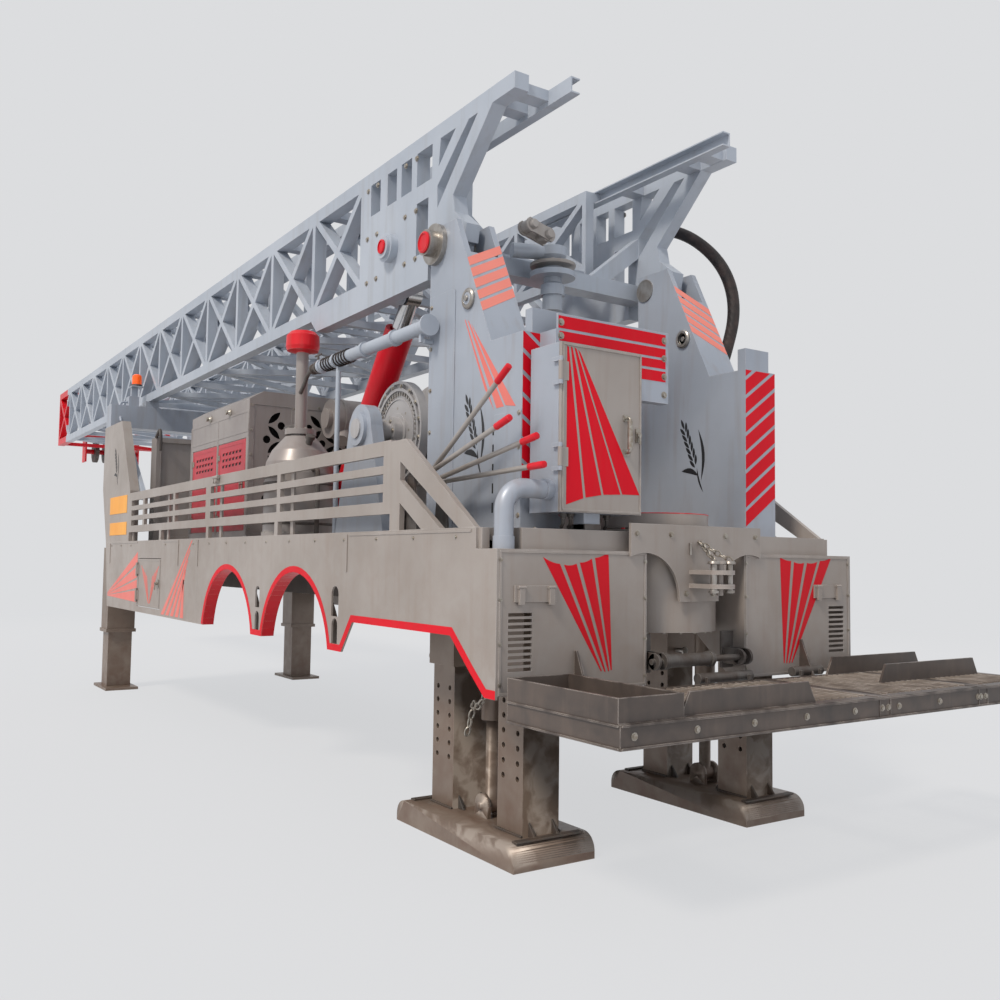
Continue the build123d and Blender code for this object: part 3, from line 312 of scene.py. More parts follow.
materials = {
    # painted light: the mast's silver is tinted cool blue as painted sky light; the real paint is the same silver as
    # the body's
    "mastPaint": sprayedPaint("silverMastPaint", {
        "paint": "B2B9C3", "shade": "A6AEB9", "dust": "8E8A86", "bare": "D5D9DE", "rough": 0.42, "flake": 0.15,
        "dustLevel": 0.0, "zone": {"axis": "X", "edge": mastEnd, "side": -1, "paint": redPaintHex}}),
    # painted light: the towers' silver is tinted cool blue as painted sky light; the real paint is the same silver as
    # the body's
    "towerPaint": sprayedPaint("silverTowerPaint", {
        "paint": "A7AEB9", "shade": "9BA2AD", "dust": warmDust, "bare": "D8D8D8", "rough": 0.40, "flake": 0.18,
        "dustLevel": 0.25, "dustTop": 2.6}),
    # painted light: the body's silver is tinted warm as painted ground bounce; the real paint is the same silver as
    # the mast's
    "bodyPaint": sprayedPaint("silverBodyPaint", {
        "paint": "A39B95", "shade": "968D86", "dust": warmDust, "bare": "D3CFCA", "rough": 0.42, "flake": 0.15,
        "dustLevel": 0.5}),
    "vesselPaint": sprayedPaint("silverVesselPaint", {
        "paint": "9A938F", "shade": "8B8380", "dust": "7C6659", "bare": "CFCBC6", "rough": 0.38, "flake": 0.2,
        "dustLevel": 0.3, "dustTop": 2.4,
        "zone": {"axis": "Z", "edge": 2.945, "side": 1, "paint": "D9061C"}}),
    "vesselRed": sprayedPaint("dustyRedPaint", {
        "paint": "BE2436", "shade": "AD1D2F", "dust": "8E4A48", "bare": "D9867E", "rough": 0.42, "dustLevel": 0.5,
        "dustTop": 2.4}),
    "redPaint": sprayedPaint("redPaint", {
        "paint": "D60820", "shade": "C4041B", "dust": "8E3A35", "bare": "E58D85", "rough": 0.38, "dustLevel": 0.3,
        "gloss": 0.12, "bump": 0.2, "specular": 0.3}),
    "redDecal": sprayedPaint("redStencilPaint", {
        "paint": "DA0A22", "shade": "CB061D", "dust": "A44A44", "bare": "DA0A22", "rough": 0.45, "wear": 0.0,
        "dustLevel": 0.12, "runs": 0.14, "bump": 0.15, "specular": 0.18, "gloss": 0.0}),
    "fadedDecal": sprayedPaint("fadedRedStencilPaint", {
        "paint": "E3766B", "shade": "DC6A60", "dust": "C08378", "bare": "E3766B", "rough": 0.5, "wear": 0.0,
        "dustLevel": 0.2, "runs": 0.2, "bump": 0.15}),
    # painted highlight: the slope's red stripes made pale salmon as if in strong sunlight
    "sunlitRedDecal": sprayedPaint("sunlitRedStripePaint", {
        "paint": "EA8878", "shade": "E27F70", "dust": "D08A7C", "bare": "EA8878", "rough": 0.5, "wear": 0.0,
        "dustLevel": 0.0, "runs": 0.15, "bump": 0.15}),
    "blackDecal": sprayedPaint("blackStencilPaint", {
        "paint": "17171B", "shade": "202024", "dust": "4A4440", "bare": "17171B", "rough": 0.5, "wear": 0.0,
        "dustLevel": 0.2, "runs": 0.1, "bump": 0.1}),
    "orangePaint": sprayedPaint("orangePlatePaint", {
        "paint": "F2A93B", "shade": "E99B2D", "dust": "C79452", "bare": "E8C28A", "rough": 0.5, "dustLevel": 0.4}),
    "leverPaint": sprayedPaint("wornLeverPaint", {
        "paint": "A9A39E", "shade": "958E88", "dust": "7D6C60", "bare": "DAD6D1", "rough": 0.36, "flake": 0.3,
        "dustLevel": 0.25, "dustTop": 2.4, "wear": 0.4}),
    "brakePaint": sprayedPaint("silverBrakePaint", {
        "paint": "B3B1B1", "shade": "A4A1A1", "dust": "6F5F55", "bare": "DEDCDA", "rough": 0.38, "flake": 0.2,
        "dustLevel": 0.1, "dustTop": 2.4}),
    "darkPaint": sprayedPaint("darkPlatformPaint", {
        "paint": "4B423D", "shade": "3B3431", "dust": "75655A", "bare": "B9B0A8", "rough": 0.46, "dustLevel": 0.75,
        "dustTop": 1.4, "wear": 0.75, "edgeMm": 7}),
    "gratingPaint": sprayedPaint("wornGratingPaint", {
        "paint": "8F857B", "shade": "6F655D", "dust": "9C8B7C", "bare": "D9D2CA", "rough": 0.5, "dustLevel": 0.6,
        "dustTop": 1.4, "wear": 0.8, "edgeMm": 5}),
    "jackPaint": sprayedPaint("dustyJackPaint", {
        "paint": "86786C", "shade": "75665B", "dust": "6B5345", "bare": "B7ADA3", "rough": 0.42, "flake": 0.25,
        "dustLevel": 0.8, "dustTop": 1.2}),
    "castSteel": workedMetal("castSteel", {
        "metal": "6A6663", "bloom": "564B45", "mark": "3E3936", "bare": "A7A4A0", "patchMm": 90, "metallic": 0.5,
        "rough": 0.55}),
    "footSteel": workedMetal("scuffedFootSteel", {
        "metal": "4A4643", "bloom": "5D4D42", "mark": "2B2725", "bare": "8D857D", "patchMm": 130, "metallic": 0.3,
        "rough": 0.6, "wear": 0.35, "edgeMm": 10}),
    "bareSteel": workedMetal("turnedSteel", {
        "metal": "B5B1AC", "bloom": "948C84", "mark": "6F6862", "bare": "DEDCD8", "patchMm": 70, "metallic": 0.85,
        "rough": 0.34}),
    "zincSteel": workedMetal("zincPlatedSteel", {
        "metal": "B4B0A8", "bloom": "8F8375", "mark": "6A625A", "bare": "E2DED8", "patchMm": 18, "metallic": 0.8,
        "rough": 0.4, "edgeMm": 2}),
    "rodChrome": workedMetal("chromedRod", {
        "metal": "D4D5D8", "bloom": "C6C4C2", "mark": "A9A6A3", "bare": "EEEEEE", "patchMm": 240, "metallic": 1.0,
        "rough": 0.16, "bump": 0.05}),
    # painted shade: near-black for vent openings, slots and the radiator pocket, where only shade falls
    "paintedShadeBlack": workedMetal("paintedShadeInsides", {
        "metal": "151315", "bloom": "211C1B", "mark": "0D0C0C", "bare": "2B2726", "patchMm": 160, "metallic": 0.1,
        "rough": 0.8, "wear": 0.1}),
    "wireRope": workedMetal("greasedWireRope", {
        "metal": "5C564F", "bloom": "3D3733", "mark": "2A2623", "bare": "99938B", "patchMm": 60, "metallic": 0.7,
        "rough": 0.5, "markMm": 5, "stretch": (1.0, 0.4, 1.0), "bump": 0.8}),
}


# Black hose rubber: a dull woven wrap under dust, with patches of brown bloom.
def hoseRubber():
    made, tree, shader, coords = surface("blackHoseRubber")
    dust = noise(tree, coords, 85, 6.0, None, 0.5)
    colour = blend(tree, mask(tree, dust, 0.42, 0.76), hexColour("231D1D"), hexColour("4A3A36"))
    # the wrap's ribs are 4 mm apart; drawn at 12 mm so that they show
    wrap = addNode(tree, "ShaderNodeTexWave", {"Scale": 12.0, "Distortion": 1.2, "Detail": 1.0,
                                               "bands_direction": "DIAGONAL"}, {"Vector": coords})
    fillShader(tree, shader, {"Base Color": colour, "Roughness": roughBetween(tree, dust, 0.42, 0.72),
                              "Normal": raised(tree, wrap.outputs["Fac"], 0.35)})
    return made


# Amber lens: clear moulded plastic with upright ribs that scatter the lamp's light.
def amberLens():
    made, tree, shader, coords = surface("amberLensPlastic")
    ribs = addNode(tree, "ShaderNodeTexWave", {"Scale": 9.0, "bands_direction": "DIAGONAL"}, {"Vector": coords})
    tone = noise(tree, coords, 40, 2.0)
    fillShader(tree, shader, {
        "Base Color": blend(tree, tone, hexColour("FF6A00"), hexColour("F04E00")), "Roughness": 0.18,
        "Coat Weight": 0.6, "Emission Color": hexColour("FF5A00"), "Emission Strength": 0.25,
        "Normal": raised(tree, ribs.outputs["Fac"], 0.4)})
    return made


materials["hoseRubber"] = hoseRubber()
materials["amberLens"] = amberLens()
print("stage: materials")

# What each carried-over steel part is painted with

paintedNodes = {
    "darkPaint": "chassis_rails platform_frame platform_brackets",
    "bodyPaint": "deck_plate left_side_skirt right_side_skirt hatch_door left_front_column right_front_column "
                 "left_rear_cabinet right_rear_cabinet tower_trays rotary_housing rotary_table guard_plate "
                 "cabinet_door left_guard_rail right_guard_rail",
    "towerPaint": "mast_rest_beam left_tower right_tower raising_brackets chain_case control_cabinet "
                  "elbow_pipe striped_guard",
    "bareSteel": "mast_pins",
    "jackPaint": "rear_jack_sleeves left_rear_jack right_rear_jack front_jack_sleeves left_front_jack "
                 "right_front_jack",
    "mastPaint": "left_mast_side right_mast_side mast_lacing mast_foot_beam mast_fittings "
                 "left_upper_mast_side right_upper_mast_side upper_mast_lacing",
    "redPaint": "crown_frame left_raising_barrel right_raising_barrel",
    "castSteel": "crown_sheaves lever_stand",
    "rodChrome": "left_raising_rod right_raising_rod",
    "brakePaint": "drawworks_drum",
    "vesselPaint": "drawworks_stands engine_hood side_houses side_tanks standpipes",
    "leverPaint": "control_lever_1 control_lever_2 control_lever_3 control_lever_4",
    "gratingPaint": "platform_grating",
}
for paintName, nodeNames in paintedNodes.items():
    for nodeName in nodeNames.split():
        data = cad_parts[nodeName].data
        data.materials.clear()
        data.materials.append(materials[paintName])
print("stage: frame painted")


# Mesh helpers, all in the drawing's millimetres

def addOutline(mesh, points, axis, near, far):
    # a flat outline given thickness along x, y or z; its points are in the other two, in that order
    def at(p, d):
        return toRow(*{"x": (d, p[0], p[1]), "y": (p[0], d, p[1]), "z": (p[0], p[1], d)}[axis])

    low = [mesh.verts.new(at(p, near)) for p in points]
    high = [mesh.verts.new(at(p, far)) for p in points]
    count = len(points)
    mesh.faces.new(low[::-1])
    mesh.faces.new(high)
    for i in range(count):
        j = (i + 1) % count
        mesh.faces.new((low[i], low[j], high[j], high[i]))


def addBlock(mesh, x, y, z):
    addOutline(mesh, ((x[0], y[0]), (x[1], y[0]), (x[1], y[1]), (x[0], y[1])), "z", z[0], z[1])


def addRod(mesh, start, end, radius, sides=16, endRadius=None):
    a, b = toRow(*start), toRow(*end)
    line = b - a
    turn = line.to_track_quat("Z", "Y").to_matrix().to_4x4()
    bmesh.ops.create_cone(mesh, cap_ends=True, segments=sides, radius1=radius / 1000,
                          radius2=(radius if endRadius is None else endRadius) / 1000, depth=line.length,
                          matrix=Matrix.Translation((a + b) / 2) @ turn)


def addTurned(mesh, base, towards, profile, sides=24):
    # a round piece from its outline in radius and distance along the axis
    origin, tip = toRow(*base), toRow(*towards)
    turn = (tip - origin).to_track_quat("Z", "Y").to_matrix()
    rings = []
    for radius, along in profile:
        if radius == 0:
            rings.append([mesh.verts.new(origin + turn @ Vector((0, 0, along / 1000)))])
            continue
        ring = []
        for i in range(sides):
            a = 2 * math.pi * i / sides
            ring.append(mesh.verts.new(origin + turn @ Vector((radius * math.cos(a), radius * math.sin(a), along))
                                       * 0.001))
        rings.append(ring)
    for one, two in zip(rings, rings[1:]):
        for i in range(sides):
            j = (i + 1) % sides
            corners = [one[i % len(one)], one[j % len(one)], two[j % len(two)], two[i % len(two)]]
            unique = list(dict.fromkeys(corners))
            if len(unique) > 2:
                mesh.faces.new(unique)
    for ring in (rings[0], rings[-1]):
        if len(ring) > 1:
            mesh.faces.new(ring)


def roundCorners(points, radius, steps=5):
    made = [Vector(points[0])]
    for a, b, c in zip(points, points[1:], points[2:]):
        a, b, c = Vector(a), Vector(b), Vector(c)
        u, v = (a - b).normalized(), (c - b).normalized()
        reach = min(radius, (a - b).length * 0.49, (c - b).length * 0.49)
        for i in range(steps + 1):
            t = i / steps
            made.append((1 - t) ** 2 * (b + u * reach) + 2 * t * (1 - t) * b + t ** 2 * (b + v * reach))
    made.append(Vector(points[-1]))
    return made


def addPipe(mesh, points, radius, sides=12, corner=0):
    # a bent pipe; the points' rings turn with the line so that it never twists
    path = [toRow(*p) for p in (roundCorners(points, corner) if corner else points)]
    normal = None
    rings = []
    for i, at in enumerate(path):
        ahead = (path[min(i + 1, len(path) - 1)] - path[max(i - 1, 0)]).normalized()
        if normal is None:
            normal = ahead.orthogonal().normalized()
        normal = (normal - ahead * normal.dot(ahead)).normalized()
        other = ahead.cross(normal)
        ring = []
        for k in range(sides):
            a = 2 * math.pi * k / sides
            ring.append(mesh.verts.new(at + (normal * math.cos(a) + other * math.sin(a)) * radius / 1000))
        rings.append(ring)
    for one, two in zip(rings, rings[1:]):
        for k in range(sides):
            j = (k + 1) % sides
            mesh.faces.new((one[k], one[j], two[j], two[k]))
    mesh.faces.new(rings[0][::-1])
    mesh.faces.new(rings[-1])


def finishPiece(name, mesh, material, body, bevelMm=0, replaces=(), crease=35):
    bmesh.ops.recalc_face_normals(mesh, faces=mesh.faces)
    data = bpy.data.meshes.new(name)
    mesh.to_mesh(data)
    mesh.free()
    piece = bpy.data.objects.new(name, data)
    bpy.context.collection.objects.link(piece)
    return dressPiece(piece, material, body, bevelMm, replaces, crease)


def dressPiece(piece, material, body, bevelMm=0, replaces=(), crease=35):
    data = piece.data
    data.materials.clear()
    data.materials.append(materials[material])
    data.polygons.foreach_set("use_smooth", [True] * len(data.polygons))
    data.set_sharp_from_angle(angle=math.radians(crease))
    if bevelMm:
        soften = piece.modifiers.new("edges", "BEVEL")
        soften.width = bevelMm / 1000
        soften.segments = 2
        soften.limit_method = "ANGLE"
        soften.angle_limit = math.radians(40)
        soften.harden_normals = True
    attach(piece, body)
    if replaces:
        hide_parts(*replaces)
    return piece


# The delivery hose. Its route is the one its steel fittings were drawn for.

deliveryHose = {
    "route": ((-2050, 1030, 2950), (-2050, 1030, 3340), (-1860, 1010, 3690), (-1500, 1000, 3845),
              (-1130, 1025, 3725), (-850, 1095, 3450), (-770, 1135, 3140), (-830, 1085, 2800),
              (-950, 1040, 2470), (-950, 1040, 2160)),
    "radius": 40,
    "length": 3.245,
}


def makeHose():
    curve = bpy.data.curves.new("deliveryHose", "CURVE")
    curve.dimensions = "3D"
    curve.resolution_u = 16
    curve.bevel_depth = deliveryHose["radius"] / 1000
    curve.bevel_resolution = 5
    curve.use_fill_caps = True
    line = curve.splines.new("NURBS")
    route = deliveryHose["route"]
    line.points.add(len(route) - 1)
    for point, at in zip(line.points, route):
        point.co = (*toRow(*at), 1.0)
    line.order_u = 3
    line.use_endpoint_u = True
    hose = bpy.data.objects.new("deliveryHose", curve)
    bpy.context.collection.objects.link(hose)
    curve.materials.append(materials["hoseRubber"])
    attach(hose, "rig")
    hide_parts("delivery_hose")


makeHose()
print("stage: delivery hose")

# Geometry Nodes: each tree is built once and baked to one mesh for each body

def startTree(name, values):
    tree = bpy.data.node_groups.new(name, "GeometryNodeTree")
    tree.interface.new_socket("Geometry", in_out="INPUT", socket_type="NodeSocketGeometry")
    for label, value in values.items():
        kind = "NodeSocketInt" if isinstance(value, int) else "NodeSocketFloat"
        tree.interface.new_socket(label, in_out="INPUT", socket_type=kind).default_value = value
    tree.interface.new_socket("Material", in_out="INPUT", socket_type="NodeSocketMaterial")
    tree.interface.new_socket("Geometry", in_out="OUTPUT", socket_type="NodeSocketGeometry")
    return tree, addNode(tree, "NodeGroupInput").outputs


def endTree(tree, given, points, instance, turn):
    # one copy of the instance on each point, turned by a socket or by fixed angles
    fixed = isinstance(turn, tuple)
    copies = addNode(tree, "GeometryNodeInstanceOnPoints", {"Rotation": turn} if fixed else {},
                     {"Points": points, "Instance": instance, **({} if fixed else {"Rotation": turn})})
    real = addNode(tree, "GeometryNodeRealizeInstances", {}, {"Geometry": copies})
    painted = addNode(tree, "GeometryNodeSetMaterial", {}, {"Geometry": real, "Material": given["Material"]})
    addNode(tree, "NodeGroupOutput", {}, {0: painted})
    return tree


def alongFacing(tree):
    facing = addNode(tree, "GeometryNodeInputNamedAttribute", {"data_type": "FLOAT_VECTOR", "Name": "facing"})
    return addNode(tree, "FunctionNodeAlignRotationToVector", {"axis": "Z"}, {"Vector": facing})


def rolled(tree, rotation, axis, angle):
    roll = addNode(tree, "ShaderNodeCombineXYZ", {}, {axis: angle})
    return addNode(tree, "FunctionNodeRotateRotation", {"rotation_space": "LOCAL"},
                   {"Rotation": rotation, "Rotate By": roll})


def wireCircle(tree, radius, sides):
    return addNode(tree, "GeometryNodeCurvePrimitiveCircle", {"Resolution": sides}, {"Radius": radius})


def bakeTree(name, base, tree, values, material, body, crease=35):
    maker = bpy.data.objects.new(name + "Maker", base)
    bpy.context.collection.objects.link(maker)
    pattern = maker.modifiers.new("pattern", "NODES")
    pattern.node_group = tree
    for item in tree.interface.items_tree:
        if item.in_out == "INPUT" and item.name in values:
            pattern[item.identifier] = values[item.name]
        if item.in_out == "INPUT" and item.name == "Material":
            pattern[item.identifier] = materials[material]
    graph = bpy.context.evaluated_depsgraph_get()
    data = bpy.data.meshes.new_from_object(maker.evaluated_get(graph))
    maker.modifiers.remove(pattern)
    bpy.data.objects.remove(maker)
    piece = bpy.data.objects.new(name, data)
    bpy.context.collection.objects.link(piece)
    return dressPiece(piece, material, body, crease=crease)


# Hexagon bolts with a washer, one at each point, standing along the point's own direction
def boltTree():
    tree, given = startTree("hexBolts", {"Head radius": 0.015, "Head height": 0.012})
    wide, high = given["Head radius"], given["Head height"]
    lift = addNode(tree, "ShaderNodeCombineXYZ", {}, {"Z": times(tree, high, 0.5)})
    head = addNode(tree, "GeometryNodeMeshCylinder", {"Vertices": 6}, {"Radius": wide, "Depth": high})
    lifted = addNode(tree, "GeometryNodeTransform", {}, {"Geometry": head, "Translation": lift})
    washer = addNode(tree, "GeometryNodeMeshCylinder", {"Vertices": 14},
                     {"Radius": times(tree, wide, 1.45), "Depth": times(tree, high, 0.4)})
    both = addNode(tree, "GeometryNodeJoinGeometry", {}, {0: lifted})
    tree.links.new(washer.outputs[0], both.inputs[0])
    return endTree(tree, given, given["Geometry"], both, alongFacing(tree))


# Chain links along a line, each turned a quarter from the last
def chainTree():
    tree, given = startTree("chainLinks", {"Link length": 0.05, "Wire radius": 0.005})
    spaced = addNode(tree, "GeometryNodeResampleCurve", {"mode": "LENGTH"},
                     {"Curve": given["Geometry"], "Length": times(tree, given["Link length"], 0.74)})
    loop = wireCircle(tree, times(tree, given["Link length"], 0.5), 10)
    narrow = addNode(tree, "GeometryNodeTransform", {"Scale": (1.0, 0.6, 1.0)}, {"Geometry": loop})
    link = addNode(tree, "GeometryNodeCurveToMesh", {},
                   {"Curve": narrow, "Profile Curve": wireCircle(tree, given["Wire radius"], 6)})
    tangent = addNode(tree, "GeometryNodeInputTangent")
    along = addNode(tree, "FunctionNodeAlignRotationToVector", {"axis": "X"}, {"Vector": tangent})
    index = addNode(tree, "GeometryNodeInputIndex")
    odd = addNode(tree, "ShaderNodeMath", {"operation": "MODULO", 1: 2.0}, {0: index})
    quarter = times(tree, odd.outputs[0], math.pi / 2)
    return endTree(tree, given, spaced, link, rolled(tree, along, "X", quarter))


# Flat slats on a row of points
def slatTree():
    tree, given = startTree("slats", {"Long": 0.1, "Wide": 0.05, "Thick": 0.004, "Tilt": 0.0})
    size = addNode(tree, "ShaderNodeCombineXYZ", {}, {"X": given["Long"], "Y": given["Wide"], "Z": given["Thick"]})
    slat = addNode(tree, "GeometryNodeMeshCube", {}, {"Size": size})
    return endTree(tree, given, given["Geometry"], slat, rolled(tree, alongFacing(tree), "Y", given["Tilt"]))


# Wire rope wound on a barrel, turn beside turn
def ropeTree():
    tree, given = startTree("woundRope", {"Turns": 40.0, "Barrel radius": 0.2, "Width": 1.0, "Rope radius": 0.01})
    coil = addNode(tree, "GeometryNodeCurveSpiral", {"Resolution": 26},
                   {"Rotations": given["Turns"], "Start Radius": given["Barrel radius"],
                    "End Radius": given["Barrel radius"], "Height": given["Width"]})
    rope = addNode(tree, "GeometryNodeCurveToMesh", {"Fill Caps": True},
                   {"Curve": coil, "Profile Curve": wireCircle(tree, given["Rope radius"], 6)})
    back = addNode(tree, "ShaderNodeCombineXYZ", {}, {"Z": times(tree, given["Width"], -0.5)})
    centred = addNode(tree, "GeometryNodeTransform", {}, {"Geometry": rope, "Translation": back})
    return endTree(tree, given, given["Geometry"], centred, (math.pi / 2, 0.0, 0.0))


trees = {"bolts": boltTree(), "chain": chainTree(), "slats": slatTree(), "rope": ropeTree()}


def pointMesh(name, places):
    # places are pairs of a point in the drawing and the direction it faces
    data = bpy.data.meshes.new(name)
    data.from_pydata([toRow(*at) for at, way in places], [], [])
    facing = data.attributes.new("facing", "FLOAT_VECTOR", "POINT")
    for i, (at, way) in enumerate(places):
        facing.data[i].vector = way
    return data


def boltDown(name, places, headMm, material, body):
    return bakeTree(name, pointMesh(name, places), trees["bolts"],
                    {"Head radius": headMm / 1000, "Head height": headMm * 0.7 / 1000}, material, body, 20)


def hangChain(name, runs, linkMm, material, body):
    curve = bpy.data.curves.new(name, "CURVE")
    curve.dimensions = "3D"
    for start, end, drop in runs:
        line = curve.splines.new("POLY")
        steps = 14
        line.points.add(steps)
        for i, point in enumerate(line.points):
            t = i / steps
            at = [start[k] + (end[k] - start[k]) * t for k in range(3)]
            at[2] -= 4 * drop * t * (1 - t)
            point.co = (*toRow(*at), 1.0)
    return bakeTree(name, curve, trees["chain"], {"Link length": linkMm / 1000, "Wire radius": linkMm * 0.11 / 1000},
                    material, body, 60)


def ring(centre, radius, count, axis, way, start=0.0):
    # bolt places on a circle about an axis
    places = []
    for i in range(count):
        a = start + 2 * math.pi * i / count
        u, v = radius * math.cos(a), radius * math.sin(a)
        shift = {"x": (0, u, v), "y": (u, 0, v), "z": (u, v, 0)}[axis]
        places.append((tuple(c + d for c, d in zip(centre, shift)), way))
    return places


# Sheets cut through with holes, filled from flat curves

def cutSheet(name, edge, holes, axis, near, far, material, body):
    curve = bpy.data.curves.new(name, "CURVE")
    curve.dimensions = "2D"
    curve.fill_mode = "BOTH"
    curve.extrude = abs(far - near) / 2000
    for points in [edge] + holes:
        line = curve.splines.new("POLY")
        line.points.add(len(points) - 1)
        line.use_cyclic_u = True
        for point, (u, v) in zip(line.points, points):
            point.co = (u / 1000, v / 1000, 0, 1)
    maker = bpy.data.objects.new(name + "Maker", curve)
    bpy.context.collection.objects.link(maker)
    graph = bpy.context.evaluated_depsgraph_get()
    data = bpy.data.meshes.new_from_object(maker.evaluated_get(graph))
    bpy.data.objects.remove(maker)
    middle = (near + far) / 2
    for vertex in data.vertices:
        u, v, w = vertex.co * 1000
        vertex.co = toRow(middle + w, u, v) if axis == "x" else toRow(u, middle + w, v)
    mesh = bmesh.new()
    mesh.from_mesh(data)
    bmesh.ops.remove_doubles(mesh, verts=mesh.verts, dist=0.00001)
    bpy.data.meshes.remove(data)
    return finishPiece(name, mesh, material, body)


def circlePoints(centre, radius, count=16):
    return [(centre[0] + radius * math.cos(2 * math.pi * i / count),
             centre[1] + radius * math.sin(2 * math.pi * i / count)) for i in range(count)]


def leafPoints(start, end, wide, bend=0.0, steps=6):
    # a leaf or petal between two points, bent to one side
    dx, dy = end[0] - start[0], end[1] - start[1]
    long = math.hypot(dx, dy)
    nx, ny = -dy / long, dx / long
    one, two = [], []
    for i in range(steps + 1):
        t = i / steps
        half = wide / 2 * math.sin(math.pi * t) ** 0.8
        arch = bend * math.sin(math.pi * t)
        cx, cy = start[0] + dx * t + nx * arch, start[1] + dy * t + ny * arch
        one.append((cx + nx * half, cy + ny * half))
        if 0 < i < steps:
            two.append((cx - nx * half, cy - ny * half))
    return one + two[::-1]


# Painted ornaments: thin stencilled skins just proud of the plate

skin = {"gap": 0.25, "proud": 1.1}


def paintOn(name, shapes, axis, face, outward, material, body):
    mesh = bmesh.new()
    for points in shapes:
        addOutline(mesh, points, axis, face + outward * skin["gap"], face + outward * skin["proud"])
    return finishPiece(name, mesh, material, body)


def sagged(a, b, sag, steps=5):
    # an edge between two points, bowed by sag
    made = []
    for i in range(steps + 1):
        t = i / steps
        made.append((a[0] + (b[0] - a[0]) * t, a[1] + (b[1] - a[1]) * t - 4 * sag * t * (1 - t)))
    return made


def fan(tops, bottoms, sag=0.0):
    # tapering stripes, each between a pair of top points and a pair of bottom points
    return [sagged(a, b, sag) + [d, c] for (a, b), (c, d) in zip(tops, bottoms)]


cabinetFans = {
    "left": (((( -995, 1475), (-896, 1444)), ((-872, 1441), (-798, 1446)), ((-778, 1452), (-705, 1471)),
              ((-685, 1475), (-602, 1504))),
             (((-645, 934), (-638, 934)), ((-622, 931), (-615, 931)), ((-599, 932), (-592, 932)),
              ((-583, 936), (-576, 938)))),
    "right": ((((637, 1497), (729, 1477)), ((754, 1471), (839, 1467)), ((865, 1467), (953, 1474)),
               ((979, 1480), (1078, 1500))),
              (((664, 914), (670, 914)), ((684, 911), (691, 911)), ((706, 911), (713, 911)),
               ((728, 913), (735, 913)))),
}
doorFan = ((((-863, 2482), (-854, 2477)), ((-841, 2481), (-832, 2477)), ((-819, 2479), (-808, 2474)),
            ((-797, 2471), (-784, 2460))),
           (((-862, 1724), (-759, 1758)), ((-744, 1762), (-647, 1779)), ((-633, 1781), (-526, 1787)),
            ((-514, 1788), (-402, 1790))))
towerFan = ((((-832, 2764), (-823, 2760)), ((-800, 2753), (-789, 2747)), ((-764, 2726), (-752, 2712))),
            (((-620, 2352), (-531, 2231)), ((-506, 2237), (-440, 2239)), ((-424, 2242), (-334, 2228))))


def towerRearStripes(s):
    # diagonal stripes on the tower's rear plate, rising outwards
    rise, pitch, wide, top = 178, 110.5, 86, 2597
    made = []
    for k in range(9):
        low = 1674 + k * pitch
        inner, outer = s * 674, s * 925
        points = [(inner, low), (outer, low + rise), (outer, low + rise + wide), (inner, low + wide)]
        kept = []
        for a, b in zip(points, points[1:] + points[:1]):
            if a[1] <= top:
                kept.append(a)
            if (a[1] - top) * (b[1] - top) < 0:
                t = (top - a[1]) / (b[1] - a[1])
                kept.append((a[0] + (b[0] - a[0]) * t, top))
        if len(kept) > 2:
            made.append(kept)
    return made


def wheatEar(foot, tip, lean=1.0):
    # a stalk with pairs of grains, a long upright leaf and a short curved one
    dx, dz = tip[0] - foot[0], tip[1] - foot[1]

    def at(along, across):
        long = math.hypot(dx, dz)
        return (foot[0] + dx * along + lean * -dz / long * across, foot[1] + dz * along + lean * dx / long * across)

    shapes = [leafPoints(at(0.0, 0), at(0.34, -8), 13, 10 * lean)]
    for i in range(6):
        t = 0.36 + i * 0.095
        shapes.append(leafPoints(at(t, 6), at(t + 0.13, 31), 21))
        shapes.append(leafPoints(at(t + 0.03, -6), at(t + 0.16, -31), 21))
    shapes.append(leafPoints(at(0.92, 0), at(1.07, 2), 20))
    shapes.append(leafPoints(at(0.24, 0), at(0.42, 120), 34, -16 * lean))
    shapes.append(leafPoints(at(0.16, -12), at(0.80, -108), 24, -30 * lean, 8))
    return shapes


def slopeStripes(s):
    # red stripes across the tower's slope, made pale salmon as painted sunlight on them, rising towards the middle
    mesh = bmesh.new()
    slope = (drawn["towerTopRear"] + 568) / (3360 - 2600)
    way = Vector((1, 0, -slope)).normalized()

    def at(y, z, off):
        return toRow(-568 + slope * (z - 2600) + way.x * off, s * y, z + way.z * off)

    for k in range(5):
        low = 2778 + k * 69
        corners = ((925, low), (925, low + 52), (674, low + 52 + 128), (674, low + 128))
        bottom = [mesh.verts.new(at(y, z, skin["gap"])) for y, z in corners]
        top = [mesh.verts.new(at(y, z, skin["proud"])) for y, z in corners]
        mesh.faces.new(bottom)
        mesh.faces.new(top)
        for i in range(4):
            j = (i + 1) % 4
            mesh.faces.new((bottom[i], bottom[j], top[j], top[i]))
    return mesh


def bandAlong(path, wide):
    # a strip of even width inside a lower edge, mitred at its corners
    inner = []
    for i, p in enumerate(path):
        a = path[max(i - 1, 0)]
        b = path[min(i + 1, len(path) - 1)]
        ways = []
        for u, v in ((a, p), (p, b)):
            long = math.hypot(v[0] - u[0], v[1] - u[1])
            if long:
                ways.append((-(v[1] - u[1]) / long, (v[0] - u[0]) / long))
        nx, nz = sum(w[0] for w in ways), sum(w[1] for w in ways)
        size = math.hypot(nx, nz)
        nx, nz = nx / size, nz / size
        reach = wide / max(0.5, nx * ways[0][0] + nz * ways[0][1])
        inner.append((p[0] + nx * reach, p[1] + nz * reach))
    return [[path[i], path[i + 1], inner[i + 1], inner[i]] for i in range(len(path) - 1)]


